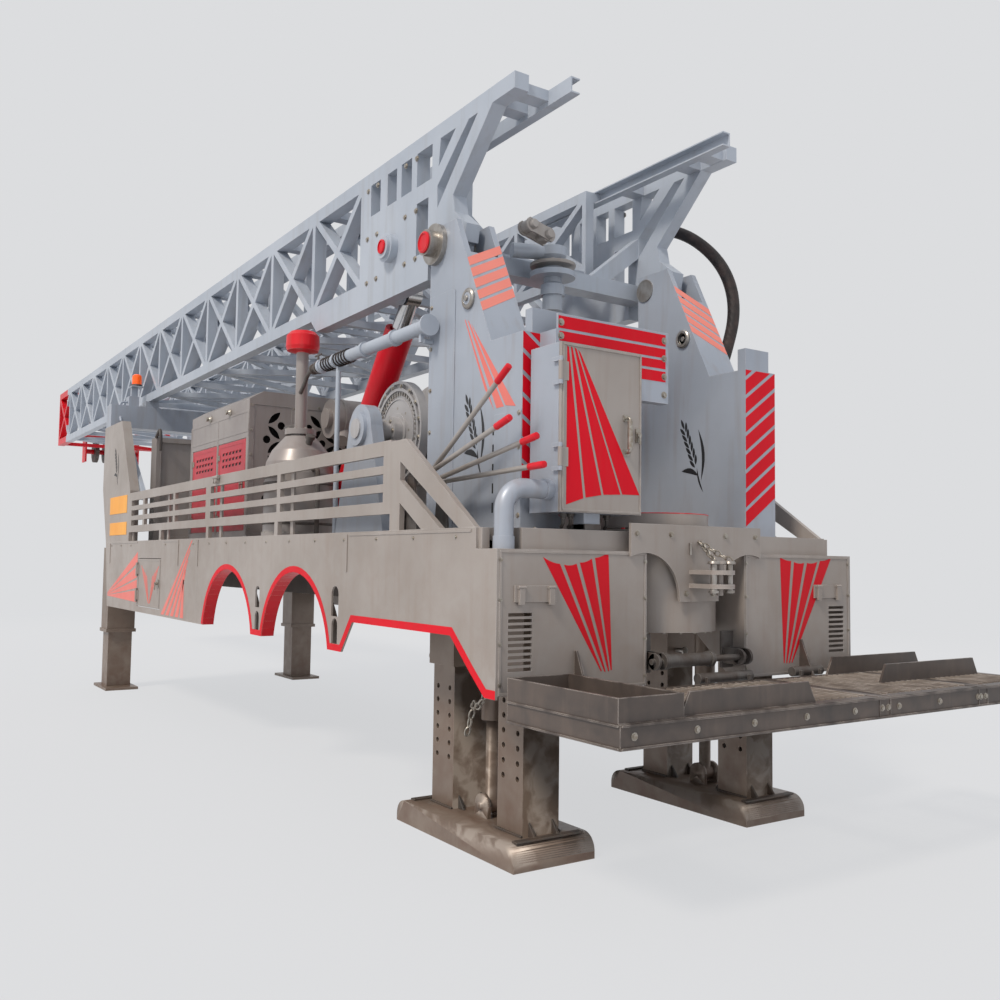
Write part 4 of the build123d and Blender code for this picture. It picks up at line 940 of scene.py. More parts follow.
def lowerEdge():
    edge = []
    for centre in drawn["arches"]:
        radius, middle = drawn["archRadius"], drawn["archCentre"]
        start = math.acos(-math.sqrt(radius ** 2 - 115 ** 2) / radius)
        for i in range(25):
            a = start - (2 * start - math.pi) * i / 24
            edge.append((centre + radius * math.cos(a), middle + radius * math.sin(a)))
    return edge + [(-1623, 915), (-1480, 1095), (-396, 1095), (-212, 935), (-90, 837), (-1, 837)]


skirtOrnaments = {
    "fanTip": (-7630, 1040), "fanRight": -6376, "fanEdges": ((1393, 1501), (1251, 1362), (1145, 1228), (1006, 1124)),
    "stripeLow": 935, "stripeStart": -5478, "stripePitch": 150, "stripeWide": 96,
    "stripeTops": ((-4590, 1596), (-4802, 1262)), "bandWide": 40,
}


def skirtShapes():
    o = skirtOrnaments
    shapes = []
    for k, (low, high) in enumerate(o["fanEdges"]):
        tip = (o["fanTip"][0], o["fanTip"][1] + (3 - k) * 9 - 12)
        shapes.append([tip, (o["fanRight"], low), (o["fanRight"], high), (tip[0], tip[1] + 6)])
    for k in range(5):
        t = k / 4
        (ax, az), (bx, bz) = o["stripeTops"]
        x = o["stripeStart"] + k * o["stripePitch"]
        top = (ax + (bx - ax) * t, az + (bz - az) * t)
        shapes.append([(x, o["stripeLow"]), (x + o["stripeWide"], o["stripeLow"]), (top[0] + 12, top[1]),
                       (top[0] - 12, top[1])])
    return shapes


def hatchChevrons():
    shapes = []
    for s in (-1, 1):
        for k in range(4):
            x = s * (96 + k * 62)
            z = 1268 + k * 30
            shapes.append([(-5905 + s * (6 + k * 7), 1012 + k * 2), (-5905 + s * (11 + k * 7), 1012 + k * 2),
                           (-5905 + x + s * 36, z + 14), (-5905 + x, z)])
    return shapes


for s, word in ((-1, "left"), (1, "right")):
    skirtFace, outside, inside = (s * drawn[name] for name in ("skirt", "towerOut", "towerIn"))
    paintOn(word + "CabinetFan", fan(*cabinetFans[word], 6), "x", 0, 1, "redDecal", "rig")
    paintOn(word + "TowerRearStripes", towerRearStripes(s), "x", drawn["towerRear"], 1, "redDecal", "rig")
    finishPiece(word + "TowerSlopeStripes", slopeStripes(s), "sunlitRedDecal", "rig")
    paintOn(word + "TowerFan", fan(*towerFan), "y", outside, s, "fadedDecal", "rig")
    paintOn(word + "TowerEarOutside", wheatEar((-640, 1892), (-796, 2322)), "y", outside, s, "blackDecal", "rig")
    paintOn(word + "TowerEarInside", wheatEar((-619, 1892), (-795, 2330)), "y", inside, -s, "blackDecal", "rig")
    band = bandAlong(lowerEdge(), skirtOrnaments["bandWide"])
    paintOn(word + "SkirtBand", band, "y", skirtFace, s, "redDecal", "rig")
    paintOn(word + "SkirtOrnament", skirtShapes(), "y", skirtFace, s, "fadedDecal", "rig")
    paintOn(word + "ColumnEar", wheatEar((-7340, 2215), (-7500, 2600)), "y", skirtFace, s, "blackDecal", "rig")
    mesh = bmesh.new()
    addOutline(mesh, ((-7640, 1905), (-6890, 1905), (-6890, 2090), (-7640, 2090)), "y", skirtFace, skirtFace + s * 4)
    addOutline(mesh, ((-7620, 1678), (-6880, 1678), (-6880, 1812), (-7620, 1812)), "y", skirtFace, skirtFace + s * 4)
    finishPiece(word + "OrangePlates", mesh, "orangePaint", "rig", 1.2)
paintOn("doorFan", fan(*doorFan), "x", -2, 1, "redDecal", "cabinet_door")
paintOn("hatchChevrons", hatchChevrons(), "y", -1250, -1, "fadedDecal", "hatch")
guardStripes = [((-806, 2606), (-90, 2606), (-90, 2668), (-806, 2668)),
                ((-800, 2543), (-90, 2543), (-90, 2592), (-800, 2592)),
                ((-382, 2484), (-90, 2484), (-90, 2530), (-382, 2530)),
                ((-382, 2414), (-90, 2414), (-90, 2470), (-382, 2470))]
paintOn("guardStripes", guardStripes, "x", -148, 1, "redDecal", "rig")
mesh = bmesh.new()
for centre in drawn["arches"]:
    middle, radius, first = drawn["archCentre"], drawn["archRadius"] - 0.4, 0.206
    arc = [(centre + radius * math.cos(a), middle + radius * math.sin(a))
           for a in [first + (math.pi - 2 * first) * i / 28 for i in range(29)]]
    for s in (-1, 1):
        for p, q in zip(arc, arc[1:]):
            inner = [(centre + (u[0] - centre) * 0.998, middle + (u[1] - middle) * 0.998) for u in (p, q)]
            addOutline(mesh, (p, q, inner[1], inner[0]), "y", s * 1161, s * 1249)
finishPiece("archLinings", mesh, "redPaint", "rig")
print("stage: ornaments")

# Engine house: red doors with vent rows painted near-black as the shade in their openings, seams, knobs and louvres

engine = { "doors": ((-5490, -4806), (-4754, -4066)), "low": 1676, "high": 2424}
mesh = bmesh.new()
vents, hardware = bmesh.new(), bmesh.new()
ventPlaces, hingeBolts = [], []
for s in (-1, 1):
    face = s * drawn["house"]
    for x0, x1 in engine["doors"]:
        addBlock(mesh, (x0, x1), (face - s * 7.5, face - s * 1.5), (engine["low"], engine["high"]))
        for x in (x0 + 6, x1 - 34):
            addBlock(mesh, (x, x + 28), (face - s * 1.5, face + s * 1), (engine["low"] + 6, engine["high"] - 6))
        for z in (engine["low"] + 6, engine["high"] - 34):
            addBlock(mesh, (x0 + 34, x1 - 34), (face - s * 1.5, face + s * 1), (z, z + 28))
        middle = (x0 + x1) / 2
        for row in range(3):
            for k in range(6):
                x, z = middle - 210 + k * 84, 2330 - row * 52
                addOutline(vents, ((x - 26, z - 9), (x + 16, z - 9), (x + 26, z + 9), (x - 16, z + 9)), "y",
                           face - s * 1.4, face - s * 0.9)
                ventPlaces.append(((x, face - s * 1, z + 14), (0, s, 0)))
        addBlock(hardware, (x1 - 72, x1 - 44), (face - s, face + s * 7), (2010, 2100))
        addRod(hardware, (x1 - 58, face + s * 6, 2055), (x1 - 58, face + s * 24, 2055), 9, 12)
        addBlock(hardware, (x1 - 64, x1 - 52), (face + s * 20, face + s * 27), (1990, 2066))
        for z in (1790, 2310):
            addRod(hardware, (x0 - 3, face + s * 4, z - 32), (x0 - 3, face + s * 4, z + 32), 8, 12)
            addBlock(hardware, (x0 + 2, x0 + 44), (face - s, face + s * 4), (z - 24, z + 24))
            hingeBolts += [((x0 + 16, face + s * 4, z + d), (0, s, 0)) for d in (-13, 13)]
    for x in (-4993, -4468):
        addTurned(hardware, (x, face, 2679), (x, face + s, 2679), ((0.1, -2), (30, -2), (32, 5), (22, 12), (15, 26),
                                                                  (21, 32), (19, 42), (0.1, 45)), 18)
finishPiece("engineDoors", mesh, "vesselRed", "rig", 1.5)
# the vents' near-black shapes are painted shade inside the openings
finishPiece("engineDoorVents", vents, "paintedShadeBlack", "rig")
finishPiece("engineDoorFittings", hardware, "zincSteel", "rig", 1)
bakeTree("engineDoorLouvres", pointMesh("ventHoods", ventPlaces), trees["slats"],
         {"Long": 0.05, "Wide": 0.005, "Thick": 0.012, "Tilt": 0.0}, "vesselRed", "rig")
boltDown("engineHingeBolts", hingeBolts, 5, "zincSteel", "rig")

# Seams, rub strips and hood bands around the engine house
mesh = bmesh.new()
for s in (-1, 1):
    y = s * drawn["house"]
    for z in (2474, 2636):
        addBlock(mesh, (-5560, -4010), (y - s, y + s * 3), (z, z + 16))
    for x in (-5560, -4794, -4030):
        addBlock(mesh, (x, x + 20), (y - s, y + s * 3), (1640, 2474))
        addBlock(mesh, (x, x + 20), (y - s, y + s * 3), (2490, 2636))
finishPiece("engineHouseBands", mesh, "vesselPaint", "rig", 1)

# Rear screen: a lattice of petals cut from sheet, in front of a near-black sheet and fins that paint the shade in the
# pocket behind it
screen = {"x": -4004, "thick": 5, "pitch": 242, "openings": ((-556, -42), (42, 556), (640, 958), (-958, -640)),
          "low": 1762, "high": 2668}
print("stage: engine house")


def screenHoles(low, high, z0, z1):
    p, margin = screen["pitch"], 13
    holes = []
    for i in range(-9, 10):
        for j in range(12, 24):
            cy, cz = i * p / 2, j * p / 2
            if (i + j) % 2:
                holes.append(circlePoints((cy, cz), 33, 12))
                continue
            for a in (1, -1):
                holes.append(leafPoints((cy + 9, cz + a * 9), (cy + p / 2 - 9, cz + a * (p / 2 - 9)), 52))
    return [h for h in holes if all(low + margin < u < high - margin and z0 + margin < v < z1 - margin for u, v in h)]


for number, (low, high) in enumerate(screen["openings"]):
    z0, z1 = 1654, screen["high"] + 28
    sheet = [(low + 1, z0), (high - 1, z0), (high - 1, z1), (low + 1, z1)]
    cutSheet(f"radiatorScreen{number}", sheet, screenHoles(low, high, z0, z1), "x", screen["x"] - screen["thick"],
             screen["x"], "vesselPaint", "rig")
mesh = bmesh.new()
places = []
for low, high in screen["openings"]:
    addBlock(mesh, (-4086, -4080), (low + 3, high - 3), (1656, 2694))
    for k in range(int((high - low - 20) / 26)):
        places.append(((-4076, low + 22 + k * 26, 2175), (0, 0, 1)))
# painted shade: a near-black sheet and dark fins stand for the shade in the pocket behind the screen
finishPiece("radiatorPocketShade", mesh, "paintedShadeBlack", "rig")
bakeTree("radiatorFins", pointMesh("finPlaces", places), trees["slats"],
         {"Long": 0.008, "Wide": 0.003, "Thick": 1.03, "Tilt": 0.0}, "paintedShadeBlack", "rig")
bolts = []
for z in (1631, 2719):
    bolts += [((-4000, y, z), (1, 0, 0)) for y in range(-560, 561, 160)]
for s in (-1, 1):
    bolts += [((-4000, s * 980, z), (1, 0, 0)) for z in range(1690, 2700, 200)]
    bolts += [((-4000, s * 619, z), (1, 0, 0)) for z in range(1690, 2700, 200)]
boltDown("screenBolts", bolts, 9, "zincSteel", "rig")
print("stage: rear screen")

# Vessels: bolted flanges, a bleed pipe and a gauge at each
mesh = bmesh.new()
bolts = []
for s in (-1, 1):
    x, y = drawn["vessel"][0], s * drawn["vessel"][1]
    bolts += ring((x, y, 2385), 92, 8, "z", (0, 0, 1))
    bolts += ring((x, y, 1634), 246, 16, "z", (0, 0, 1))
    for z in (1700, 1985):
        addTurned(mesh, (x, y, z), (x, y, z + 1), ((251, -9), (256, -6), (256, 6), (251, 9)), 40)
    addPipe(mesh, ((x - 60, y, 2330), (x - 190, y - s * 60, 2440), (x - 420, y - s * 60, 2440)), 26, 10, 60)
    addTurned(mesh, (x + 150, y, 2262), (x + 190, y, 2330), ((24, -10), (24, 46), (34, 48), (34, 74), (0, 78)), 14)
    addPipe(mesh, ((x + 236, y, 2080), (x + 330, y, 2080), (x + 330, y, 1800), (x + 330, y, 1614)), 17, 8, 40)
finishPiece("vesselFittings", mesh, "castSteel", "rig", 1)
boltDown("vesselBolts", bolts, 11, "zincSteel", "rig")

# Drum: wire rope in even turns, brake lining teeth and cover bolts
drumX, drumZ = drawn["drum"]
centre = toRow(drumX, 0, drumZ)
data = bpy.data.meshes.new("drumCentre")
data.from_pydata([centre], [], [])
bakeTree("drumRope", data, trees["rope"], {"Turns": 46.0, "Barrel radius": 0.2005, "Width": 1.085,
                                          "Rope radius": 0.0115}, "wireRope", "drum", 60)
mesh, bolts, teeth = bmesh.new(), [], []
for s in (-1, 1):
    face = s * drawn["brakeFace"]
    bolts += ring((drumX, face, drumZ), 288, 16, "y", (0, s, 0), math.pi / 16)
    bolts += ring((drumX, s * 826, drumZ), 150, 8, "y", (0, s, 0))
    bolts += ring((drumX, s * 900, drumZ), 68, 6, "y", (0, s, 0))
    for i in range(48):
        a = 2 * math.pi * i / 48
        teeth.append(((drumX + 240 * math.cos(a), s * 828, drumZ + 240 * math.sin(a)),
                      (math.cos(a), 0, math.sin(a))))
    rim = ((205, -4), (213, -4), (213, 6), (205, 6), (205, -4))
    cover = ((94, -1), (94, 3), (150, 5), (206, 3), (206, -1))
    addTurned(mesh, (drumX, s * 830, drumZ), (drumX, s * 831, drumZ), rim, 40)
    addTurned(mesh, (drumX, s * 828, drumZ), (drumX, s * 829, drumZ), cover, 48)
finishPiece("brakeCoverRings", mesh, "brakePaint", "drum")
boltDown("drumBolts", bolts, 10, "zincSteel", "drum")
bakeTree("brakeTeeth", pointMesh("teethPlaces", teeth), trees["slats"],
         {"Long": 0.014, "Wide": 0.018, "Thick": 0.022, "Tilt": 0.0}, "bareSteel", "drum")
print("stage: vessels and drum")

# Pins and bosses with red faces
mesh = bmesh.new()
x, z = drawn["pivot"]
for s in (-1, 1):
    addTurned(mesh, (x, s * 1011, z), (x, s * 1012, z), ((0.1, 0.4), (62, 0.4), (62, 9), (50, 14), (50, 8),
                                                                      (0.1, 8)), 28)
finishPiece("pivotPinCaps", mesh, "redPaint", "rig", 1)
mesh = bmesh.new()
x, z = drawn["sideBoss"]
for s in (-1, 1):
    addTurned(mesh, (x, s * 913, z), (x, s * 914, z), ((0.1, 0.4), (46, 0.4), (46, 10), (36, 14), (36, 8),
                                                                    (0.1, 8)), 24)
finishPiece("mastBossCaps", mesh, "redPaint", "mast", 1)

# Lever grips
leverEnds = ((-108, 2370), (-37, 2114), (66, 2026), (71, 1897))
for number, (row, end) in enumerate(zip((-1125, -1165, -1085, -1045), leverEnds)):
    mesh = bmesh.new()
    long = math.dist(end, drawn["leverPivot"])
    ux, uz = ((e - p) / long for e, p in zip(end, drawn["leverPivot"]))
    base = (end[0] - ux * 118, row, end[1] - uz * 118)
    addTurned(mesh, base, (end[0], row, end[1]), ((16.2, 0), (17.4, 3), (16.9, 20), (17.6, 40), (16.9, 60), (17.6, 80),
                                                 (17.2, 108), (16.4, 118), (12, 120.5), (0.1, 121)), 18)
    finishPiece(f"leverGrip{number + 1}", mesh, "redPaint", f"lever_{number + 1}")

# The light pipe beside the mast, with its collars, valve and cable wrap
mesh = bmesh.new()
addRod(mesh, (-2560, -1000, 2775), (-1100, -1000, 2775), 40, 20)
for x in (-2566, -2330, -1900, -1500, -1112):
    addRod(mesh, (x - 14, -1000, 2775), (x + 14, -1000, 2775), 50, 20)
addRod(mesh, (-1100, -1000, 2775), (-1088, -1000, 2775), 62, 20)
for x in (-2300, -1180):
    addBlock(mesh, (x - 12, x + 12), (-1012, -988), (2690, 2740))
addRod(mesh, (-2300, -1000, 2700), (-2300, -1000, 1614), 17, 12)
addRod(mesh, (-1178, -990, 2700), (-1178, -930, 2700), 16, 12)
finishPiece("lightPipe", mesh, "mastPaint", "rig", 1)
mesh = bmesh.new()
valve = ((30, 0), (30, 40), (46, 44), (46, 62), (26, 70), (26, 128), (38, 132), (38, 150), (0.1, 152))
addTurned(mesh, (-2566, -1000, 2775), (-2567, -1000, 2775), valve, 16)
addPipe(mesh, ((-2700, -1000, 2775), (-2810, -1000, 2765), (-2880, -1000, 2690), (-2945, -1000, 2640)), 15, 10, 40)
addRod(mesh, (-2640, -1000, 2800), (-2640, -1000, 2860), 8, 10)
addRod(mesh, (-2690, -1000, 2862), (-2590, -1000, 2862), 7, 10)
finishPiece("pipeValve", mesh, "castSteel", "rig", 0.8)
mesh = bmesh.new()
points = []
for i in range(121):
    a = 2 * math.pi * i / 12
    points.append((-2520 + i * 3.4, -1000 + 46 * math.cos(a), 2775 + 46 * math.sin(a)))
addPipe(mesh, points, 5, 6)
finishPiece("cableWrap", mesh, "hoseRubber", "rig")
print("stage: pins, levers and pipe")

# Rear jacks: two columns of pin holes through each tube, pins, shoe gussets and hanging chains
jack = {"tubes": (-1040, -390), "y": drawn["jackSide"], "column": 62, "first": 390, "pitch": 74, "rows": 6,
        "holeRadius": 15}


def cutJackHoles(s, word):
    mesh = bmesh.new()
    for x in jack["tubes"]:
        for side in (-1, 1):
            for k in range(jack["rows"]):
                at = (x + side * jack["column"], s * (jack["y"] - 140), jack["first"] + k * jack["pitch"])
                addRod(mesh, at, (at[0], s * (jack["y"] + 140), at[2]), jack["holeRadius"], 14)
    bmesh.ops.recalc_face_normals(mesh, faces=mesh.faces)
    cutterData = bpy.data.meshes.new("jackHoles")
    mesh.to_mesh(cutterData)
    mesh.free()
    cutter = bpy.data.objects.new("jackHoles", cutterData)
    bpy.context.collection.objects.link(cutter)
    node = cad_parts[word + "_rear_jack"]
    maker = bpy.data.objects.new("jackMaker", node.data.copy())
    maker.data.transform(node.matrix_world)
    bpy.context.collection.objects.link(maker)
    cut = maker.modifiers.new("holes", "BOOLEAN")
    cut.operation = "DIFFERENCE"
    cut.solver = "EXACT"
    cut.object = cutter
    graph = bpy.context.evaluated_depsgraph_get()
    data = bpy.data.meshes.new_from_object(maker.evaluated_get(graph))
    for thing in (maker, cutter):
        bpy.data.objects.remove(thing)
    piece = bpy.data.objects.new(word + "RearJackBored", data)
    bpy.context.collection.objects.link(piece)
    return dressPiece(piece, "jackPaint", word + "_rear_jack", replaces=(word + "_rear_jack",))


pins, chainRuns = bmesh.new(), []
for s, word in ((-1, "left"), (1, "right")):
    cutJackHoles(s, word)
    y = s * jack["y"]
    for x, way in ((-1180, -1), (-900, 1), (-530, -1), (-250, 1)):
        addRod(pins, (x, y - 60, 910), (x + way * 70, y - 60, 910), 15, 12)
        head = ((0.1, 0), (24, 0), (26, 4), (24, 12), (0.1, 12))
        addTurned(pins, (x + way * 66, y - 60, 910), (x + way * 67, y - 60, 910), head, 14)
    mesh = bmesh.new()
    for x in jack["tubes"]:
        for a in (-1, 1):
            for b in (-1, 1):
                addOutline(mesh, ((x + a * 110, 120.4), (x + a * 168, 120.4), (x + a * 110, 190)), "y",
                           y + b * 70 - 6, y + b * 70 + 6)
        for b in (-1, 1):
            addBlock(mesh, (x - 112, x + 112), (y + b * 110.3, y + b * 122), (120.3, 131))
    addBlock(mesh, (-1230, -1190), (y - 200, y + 200), (120.2, 130))
    addBlock(mesh, (-240, -200), (y - 200, y + 200), (120.2, 130))
    finishPiece(word + "ShoeGussets", mesh, "footSteel", word + "_rear_jack", 2)
    chainRuns.append(((-560, y - s * 20 + s * 142, 878), (-715, y + s * 120, 700), 60))
    chainRuns.append(((-715, y + s * 120, 700), (-760, y + s * 128, 560), 0))
finishPiece("jackSleevePins", pins, "bareSteel", "rig", 1)
hangChain("jackChains", chainRuns, 52, "zincSteel", "rig")
print("stage: jacks")

# Rotary table: a thin red rim, clamp bolts, the guard's chain and pins, the flanges under the housing
well = drawn["well"]
mesh = bmesh.new()
addTurned(mesh, (*well, 1712), (*well, 1713), ((278, 0.3), (292.5, 0.3), (292.5, 5), (278, 5), (278, 0.3)), 56)
finishPiece("tableRim", mesh, "redPaint", "rotary")
boltDown("tableBolts", ring((*well, 1712), 245, 12, "z", (0, 0, 1)), 11, "zincSteel", "rotary")
bolts = [p for p in ring((*well, 1628), 355, 26, "z", (0, 0, 1)) if p[0][0] < -30 and abs(p[0][1]) < 340]
boltDown("housingBolts", bolts, 10, "redPaint", "rig")
mesh, bolts = bmesh.new(), []
for z, r in ((1098, 322), (1128, 322)):
    addTurned(mesh, (*well, z), (*well, z + 1), ((272, 0), (r, 0), (r, 22), (272, 22)), 44)
addTurned(mesh, (*well, 1150), (*well, 1151), ((270.5, 0), (292, 0), (271, 70)), 44)
bolts = ring((*well, 1098), 306, 22, "z", (0, 0, -1)) + ring((*well, 1150), 306, 22, "z", (0, 0, 1))
finishPiece("housingFlanges", mesh, "bodyPaint", "rig", 1.5)
boltDown("housingFlangeBolts", bolts, 9, "zincSteel", "rig")
mesh = bmesh.new()
for y in (-56, 56):
    addRod(mesh, (168, y, 1306), (168, y, 1452), 17, 16)
    addTurned(mesh, (168, y, 1452), (168, y, 1453), ((0.1, 0), (30, 0), (32, 4), (28, 16), (0.1, 18)), 16)
    addTurned(mesh, (168, y, 1322), (168, y, 1321), ((0.1, 0), (26, 0), (26, 14), (0.1, 16)), 16)
addRod(mesh, (24, -72, 1498), (24, -72, 1560), 6, 8)
addRod(mesh, (2, 0, 1562), (42, 0, 1562), 9, 10)
finishPiece("guardPins", mesh, "bareSteel", "rig", 1)
hangChain("guardChain", (((30, 0, 1560), (164, -56, 1478), 4), ((30, 0, 1560), (164, 56, 1478), 4)), 44, "zincSteel",
          "rig")
bolts = [((16, y, z), (1, 0, 0)) for y in (-430, -200, 190, 420) for z in (1600,)]
bolts += [((16, y, 1300), (1, 0, 0)) for y in (-95, 95)]
boltDown("guardPlateBolts", bolts, 12, "zincSteel", "rig")

# The slips' cylinder under the housing, between two clevises
mesh = bmesh.new()
for y in (-300, 300):
    addBlock(mesh, (-90, -74), (y - 44, y + 44), (900, 1096))
    for e in (-1, 1):
        addBlock(mesh, (-74, 36), (y + e * 26 - 8, y + e * 26 + 8), (925, 1010))
        addRod(mesh, (34, y + e * 26 - 8, 967), (34, y + e * 26 + 8, 967), 42, 20)
    addRod(mesh, (34, y - 52, 967), (34, y + 52, 967), 15, 12)
finishPiece("slipClevises", mesh, "castSteel", "rig", 1.5)
mesh = bmesh.new()
addRod(mesh, (34, -262, 967), (34, 60, 967), 34, 20)
for y in (-262, 48):
    addRod(mesh, (34, y - 8, 967), (34, y + 14, 967), 41, 20)
addRod(mesh, (34, 60, 967), (34, 264, 967), 17, 16)
finishPiece("slipCylinder", mesh, "castSteel", "rig", 1)
print("stage: rotary table")

# Control cabinet: handle, hinges and latch on the door, and what hangs under it
mesh = bmesh.new()
addPipe(mesh, ((0, -492, 1996), (30, -492, 1996), (30, -492, 2166), (0, -492, 2166)), 8, 12, 20)
addRod(mesh, (30, -492, 2012), (30, -492, 2150), 14, 16)
for z in (1996, 2166):
    addBlock(mesh, (-1.6, 3), (-512, -472), (z - 16, z + 16))
addBlock(mesh, (-2, 8), (-432, -404), (2052, 2120))
addRod(mesh, (7, -418, 2088), (20, -418, 2088), 13, 16)
addBlock(mesh, (17, 23), (-424, -412), (2040, 2096))
finishPiece("doorHandle", mesh, "zincSteel", "cabinet_door", 1)
mesh = bmesh.new()
for z in (1700, 2490):                  # a raised fold round the door's edge
    addBlock(mesh, (-2, 3), (-884, -396), (z - 5, z + 5))
for y in (-884, -399):
    addBlock(mesh, (-2, 3), (y - 4, y + 4), (1706, 2484))
finishPiece("doorFolds", mesh, "bodyPaint", "cabinet_door", 1)
mesh = bmesh.new()
addBlock(mesh, (-190, -60), (-700, -600), (1612, 1640))
addRod(mesh, (-118, -640, 1636), (-118, -640, 1692), 15, 14)
addTurned(mesh, (-118, -640, 1640), (-118, -640, 1641), ((26, 0), (26, 12), (19, 16), (19, 34)), 6)
for y in (-780, -735, -560, -505):
    addTurned(mesh, (-130, y, 1690), (-130, y, 1689), ((0.1, 0), (20, 0), (20, 12), (13, 15), (13, 26), (0.1, 26)), 12)
    addPipe(mesh, ((-130, y, 1664), (-130, y, 1636), (-150, y, 1622)), 9, 8, 10)
finishPiece("cabinetGlands", mesh, "castSteel", "rig", 1)
boltDown("cabinetRoofBolts", [((x, y, 2500), (0, 0, 1)) for x in (-225, -40) for y in (-880, -650, -425)], 8,
         "zincSteel", "rig")
boltDown("guardBolts", [((-148, -790, z), (1, 0, 0)) for z in (2568, 2636)] +
         [((-148, -100, z), (1, 0, 0)) for z in (2345, 2442, 2540, 2636)], 13, "zincSteel", "rig")

# Rear cabinets: toggle latches, lids' seams and bolts
mesh, bolts = bmesh.new(), []
for s in (-1, 1):
    y0, y1 = onSide(s, 918, 1156)
    addBlock(mesh, (0.3, 9), (y0, y1), (1268, 1344))
    for y in (y0 + 34, y1 - 34):
        addBlock(mesh, (9, 22), (y - 15, y + 15), (1256, 1330))
        addRod(mesh, (16, y - 20, 1336), (16, y + 20, 1336), 8, 10)
    for z in (860, 1498):
        addBlock(mesh, (0.3, 4), (min(s * 358, s * 1236), max(s * 358, s * 1236)), (z - 6, z + 6))
    for y in (s * 364, s * 1230):
        addBlock(mesh, (0.3, 4), (y - 6, y + 6), (866, 1492))
    bolts += [((4, s * y, z), (1, 0, 0)) for y in (364, 1230) for z in (900, 1080, 1280, 1460)]
    bolts.append(((-60, s * 1000, 1610), (0, 0, 1)))
finishPiece("cabinetLatches", mesh, "bodyPaint", "rig", 1.2)
boltDown("cabinetBolts", bolts, 7, "zincSteel", "rig")
print("stage: cabinets")

# Hatch: folded frame and slam latch
mesh = bmesh.new()
for z in (990, 1420):
    addBlock(mesh, (-6330, -5552), (-1253, -1250.3), (z - 5, z + 5))
for x in (-6325, -5557):
    addBlock(mesh, (x - 5, x + 5), (-1253, -1250.3), (996, 1414))
finishPiece("hatchFolds", mesh, "bodyPaint", "hatch", 1)
mesh = bmesh.new()
addBlock(mesh, (-5650, -5572), (-1257, -1250.3), (1170, 1246))
addRod(mesh, (-5611, -1257, 1208), (-5611, -1274, 1208), 14, 16)
addBlock(mesh, (-5619, -5603), (-1282, -1274), (1150, 1222))
finishPiece("hatchLatch", mesh, "zincSteel", "hatch", 1)
mesh = bmesh.new()
for s in (-1, 1):
    for x in (-7560, -4980, -4420, -1560):
        addBlock(mesh, (x - 22, x - 2), (min(s * 1250.3, s * 1255), max(s * 1250.3, s * 1255)), (1380, 1596))
    for x0, x1 in ((-7560, -6400), (-5480, -4990), (-1540, -220)):
        y = onSide(s, drawn["skirt"] + 0.3, drawn["skirt"] + 4)
        addBlock(mesh, (x0, x1), y, (1588, 1602))
finishPiece("skirtSeams", mesh, "bodyPaint", "rig", 1)
bolts = []
for s in (-1, 1):
    bolts += [((x, s * 1250, 1566), (0, s, 0)) for x in range(-7500, -200, 420) if not -6420 < x < -5460]
boltDown("skirtBolts", bolts, 8, "zincSteel", "rig")

# Guard rails: the knotted latch and welded gussets
mesh = bmesh.new()
for s in (-1, 1):
    y = onSide(s, drawn["skirt"] + 0.3, drawn["skirt"] + 12)
    addBlock(mesh, (-4010, -3925), y, (2036, 2100))
    addRod(mesh, (-4022, s * 1266, 2082), (-3912, s * 1266, 2082), 14, 14)
    addRod(mesh, (-3994, s * 1262, 2052), (-3994, s * 1284, 2052), 17, 14)
    addRod(mesh, (-3940, s * 1262, 2052), (-3940, s * 1284, 2052), 17, 14)
    for x in (-5452, -3967, -2499, -6740):
        addBlock(mesh, (x - 24, x + 24), onSide(s, 1204, 1219.6), (1612, 2092))
finishPiece("railLatches", mesh, "bodyPaint", "rig", 1.5)

# Front columns: a light strut, posts, the cooler's hook pipe, the beacon on its bracket
mesh = bmesh.new()
for s in (-1, 1):
    for x, r in ((-7640, 30), (-7400, 30)):
        addRod(mesh, (x, s * 1130, 1612), (x, s * 1130, 2700), r, 16)
    addPipe(mesh, ((-7640, s * 1130, 2690), (-7640, s * 1130, 2790), (-7780, s * 1130, 2880)), 22, 10, 50)
    addBlock(mesh, (-7700, -7340), onSide(s, 1090, 1158), (2320, 2390))
    hook = ((-6800, s * 1002, 2700), (-6640, s * 1010, 2770), (-6600, s * 1010, 2700), (-6600, s * 1010, 2540))
    addPipe(mesh, hook, 17, 10, 40)
finishPiece("columnPosts", mesh, "darkPaint", "rig", 1)
mesh = bmesh.new()
for s in (-1, 1):
    addOutline(mesh, ((-7560, 2770), (-7480, 2770), (-6700, 2120), (-6700, 2030)), "y",
               *onSide(s, 1110, 1156))
finishPiece("columnStruts", mesh, "mastPaint", "rig", 2)
mesh = bmesh.new()
addBlock(mesh, (-8010, -7960), (-1000, -930), (3150.4, 3392))
addBlock(mesh, (-8060, -7900), (-1010, -880), (3392, 3404))
addBlock(mesh, (-7950, -7800), (-1060, -950), (3150.4, 3262))
addPipe(mesh, ((-7875, -1060, 3200), (-7875, -1130, 3200), (-7860, -1150, 3120), (-7750, -1150, 2960)), 13, 10, 40)
finishPiece("beaconBracket", mesh, "towerPaint", "rig", 1.5)
mesh = bmesh.new()
addTurned(mesh, (-7980, -940, 3404), (-7980, -940, 3405), ((0.1, 0.4), (62, 0.4), (62, 20), (55, 26), (0.1, 26)), 24)
finishPiece("beaconBase", mesh, "castSteel", "rig", 1)
mesh = bmesh.new()
addTurned(mesh, (-7980, -940, 3430), (-7980, -940, 3431), ((0.1, 0.3), (54, 0.3), (54, 78), (48, 104), (30, 118),
                                                           (0.1, 122)), 28)
finishPiece("beaconLens", mesh, "amberLens", "rig")
print("stage: rails, hatch and front columns")

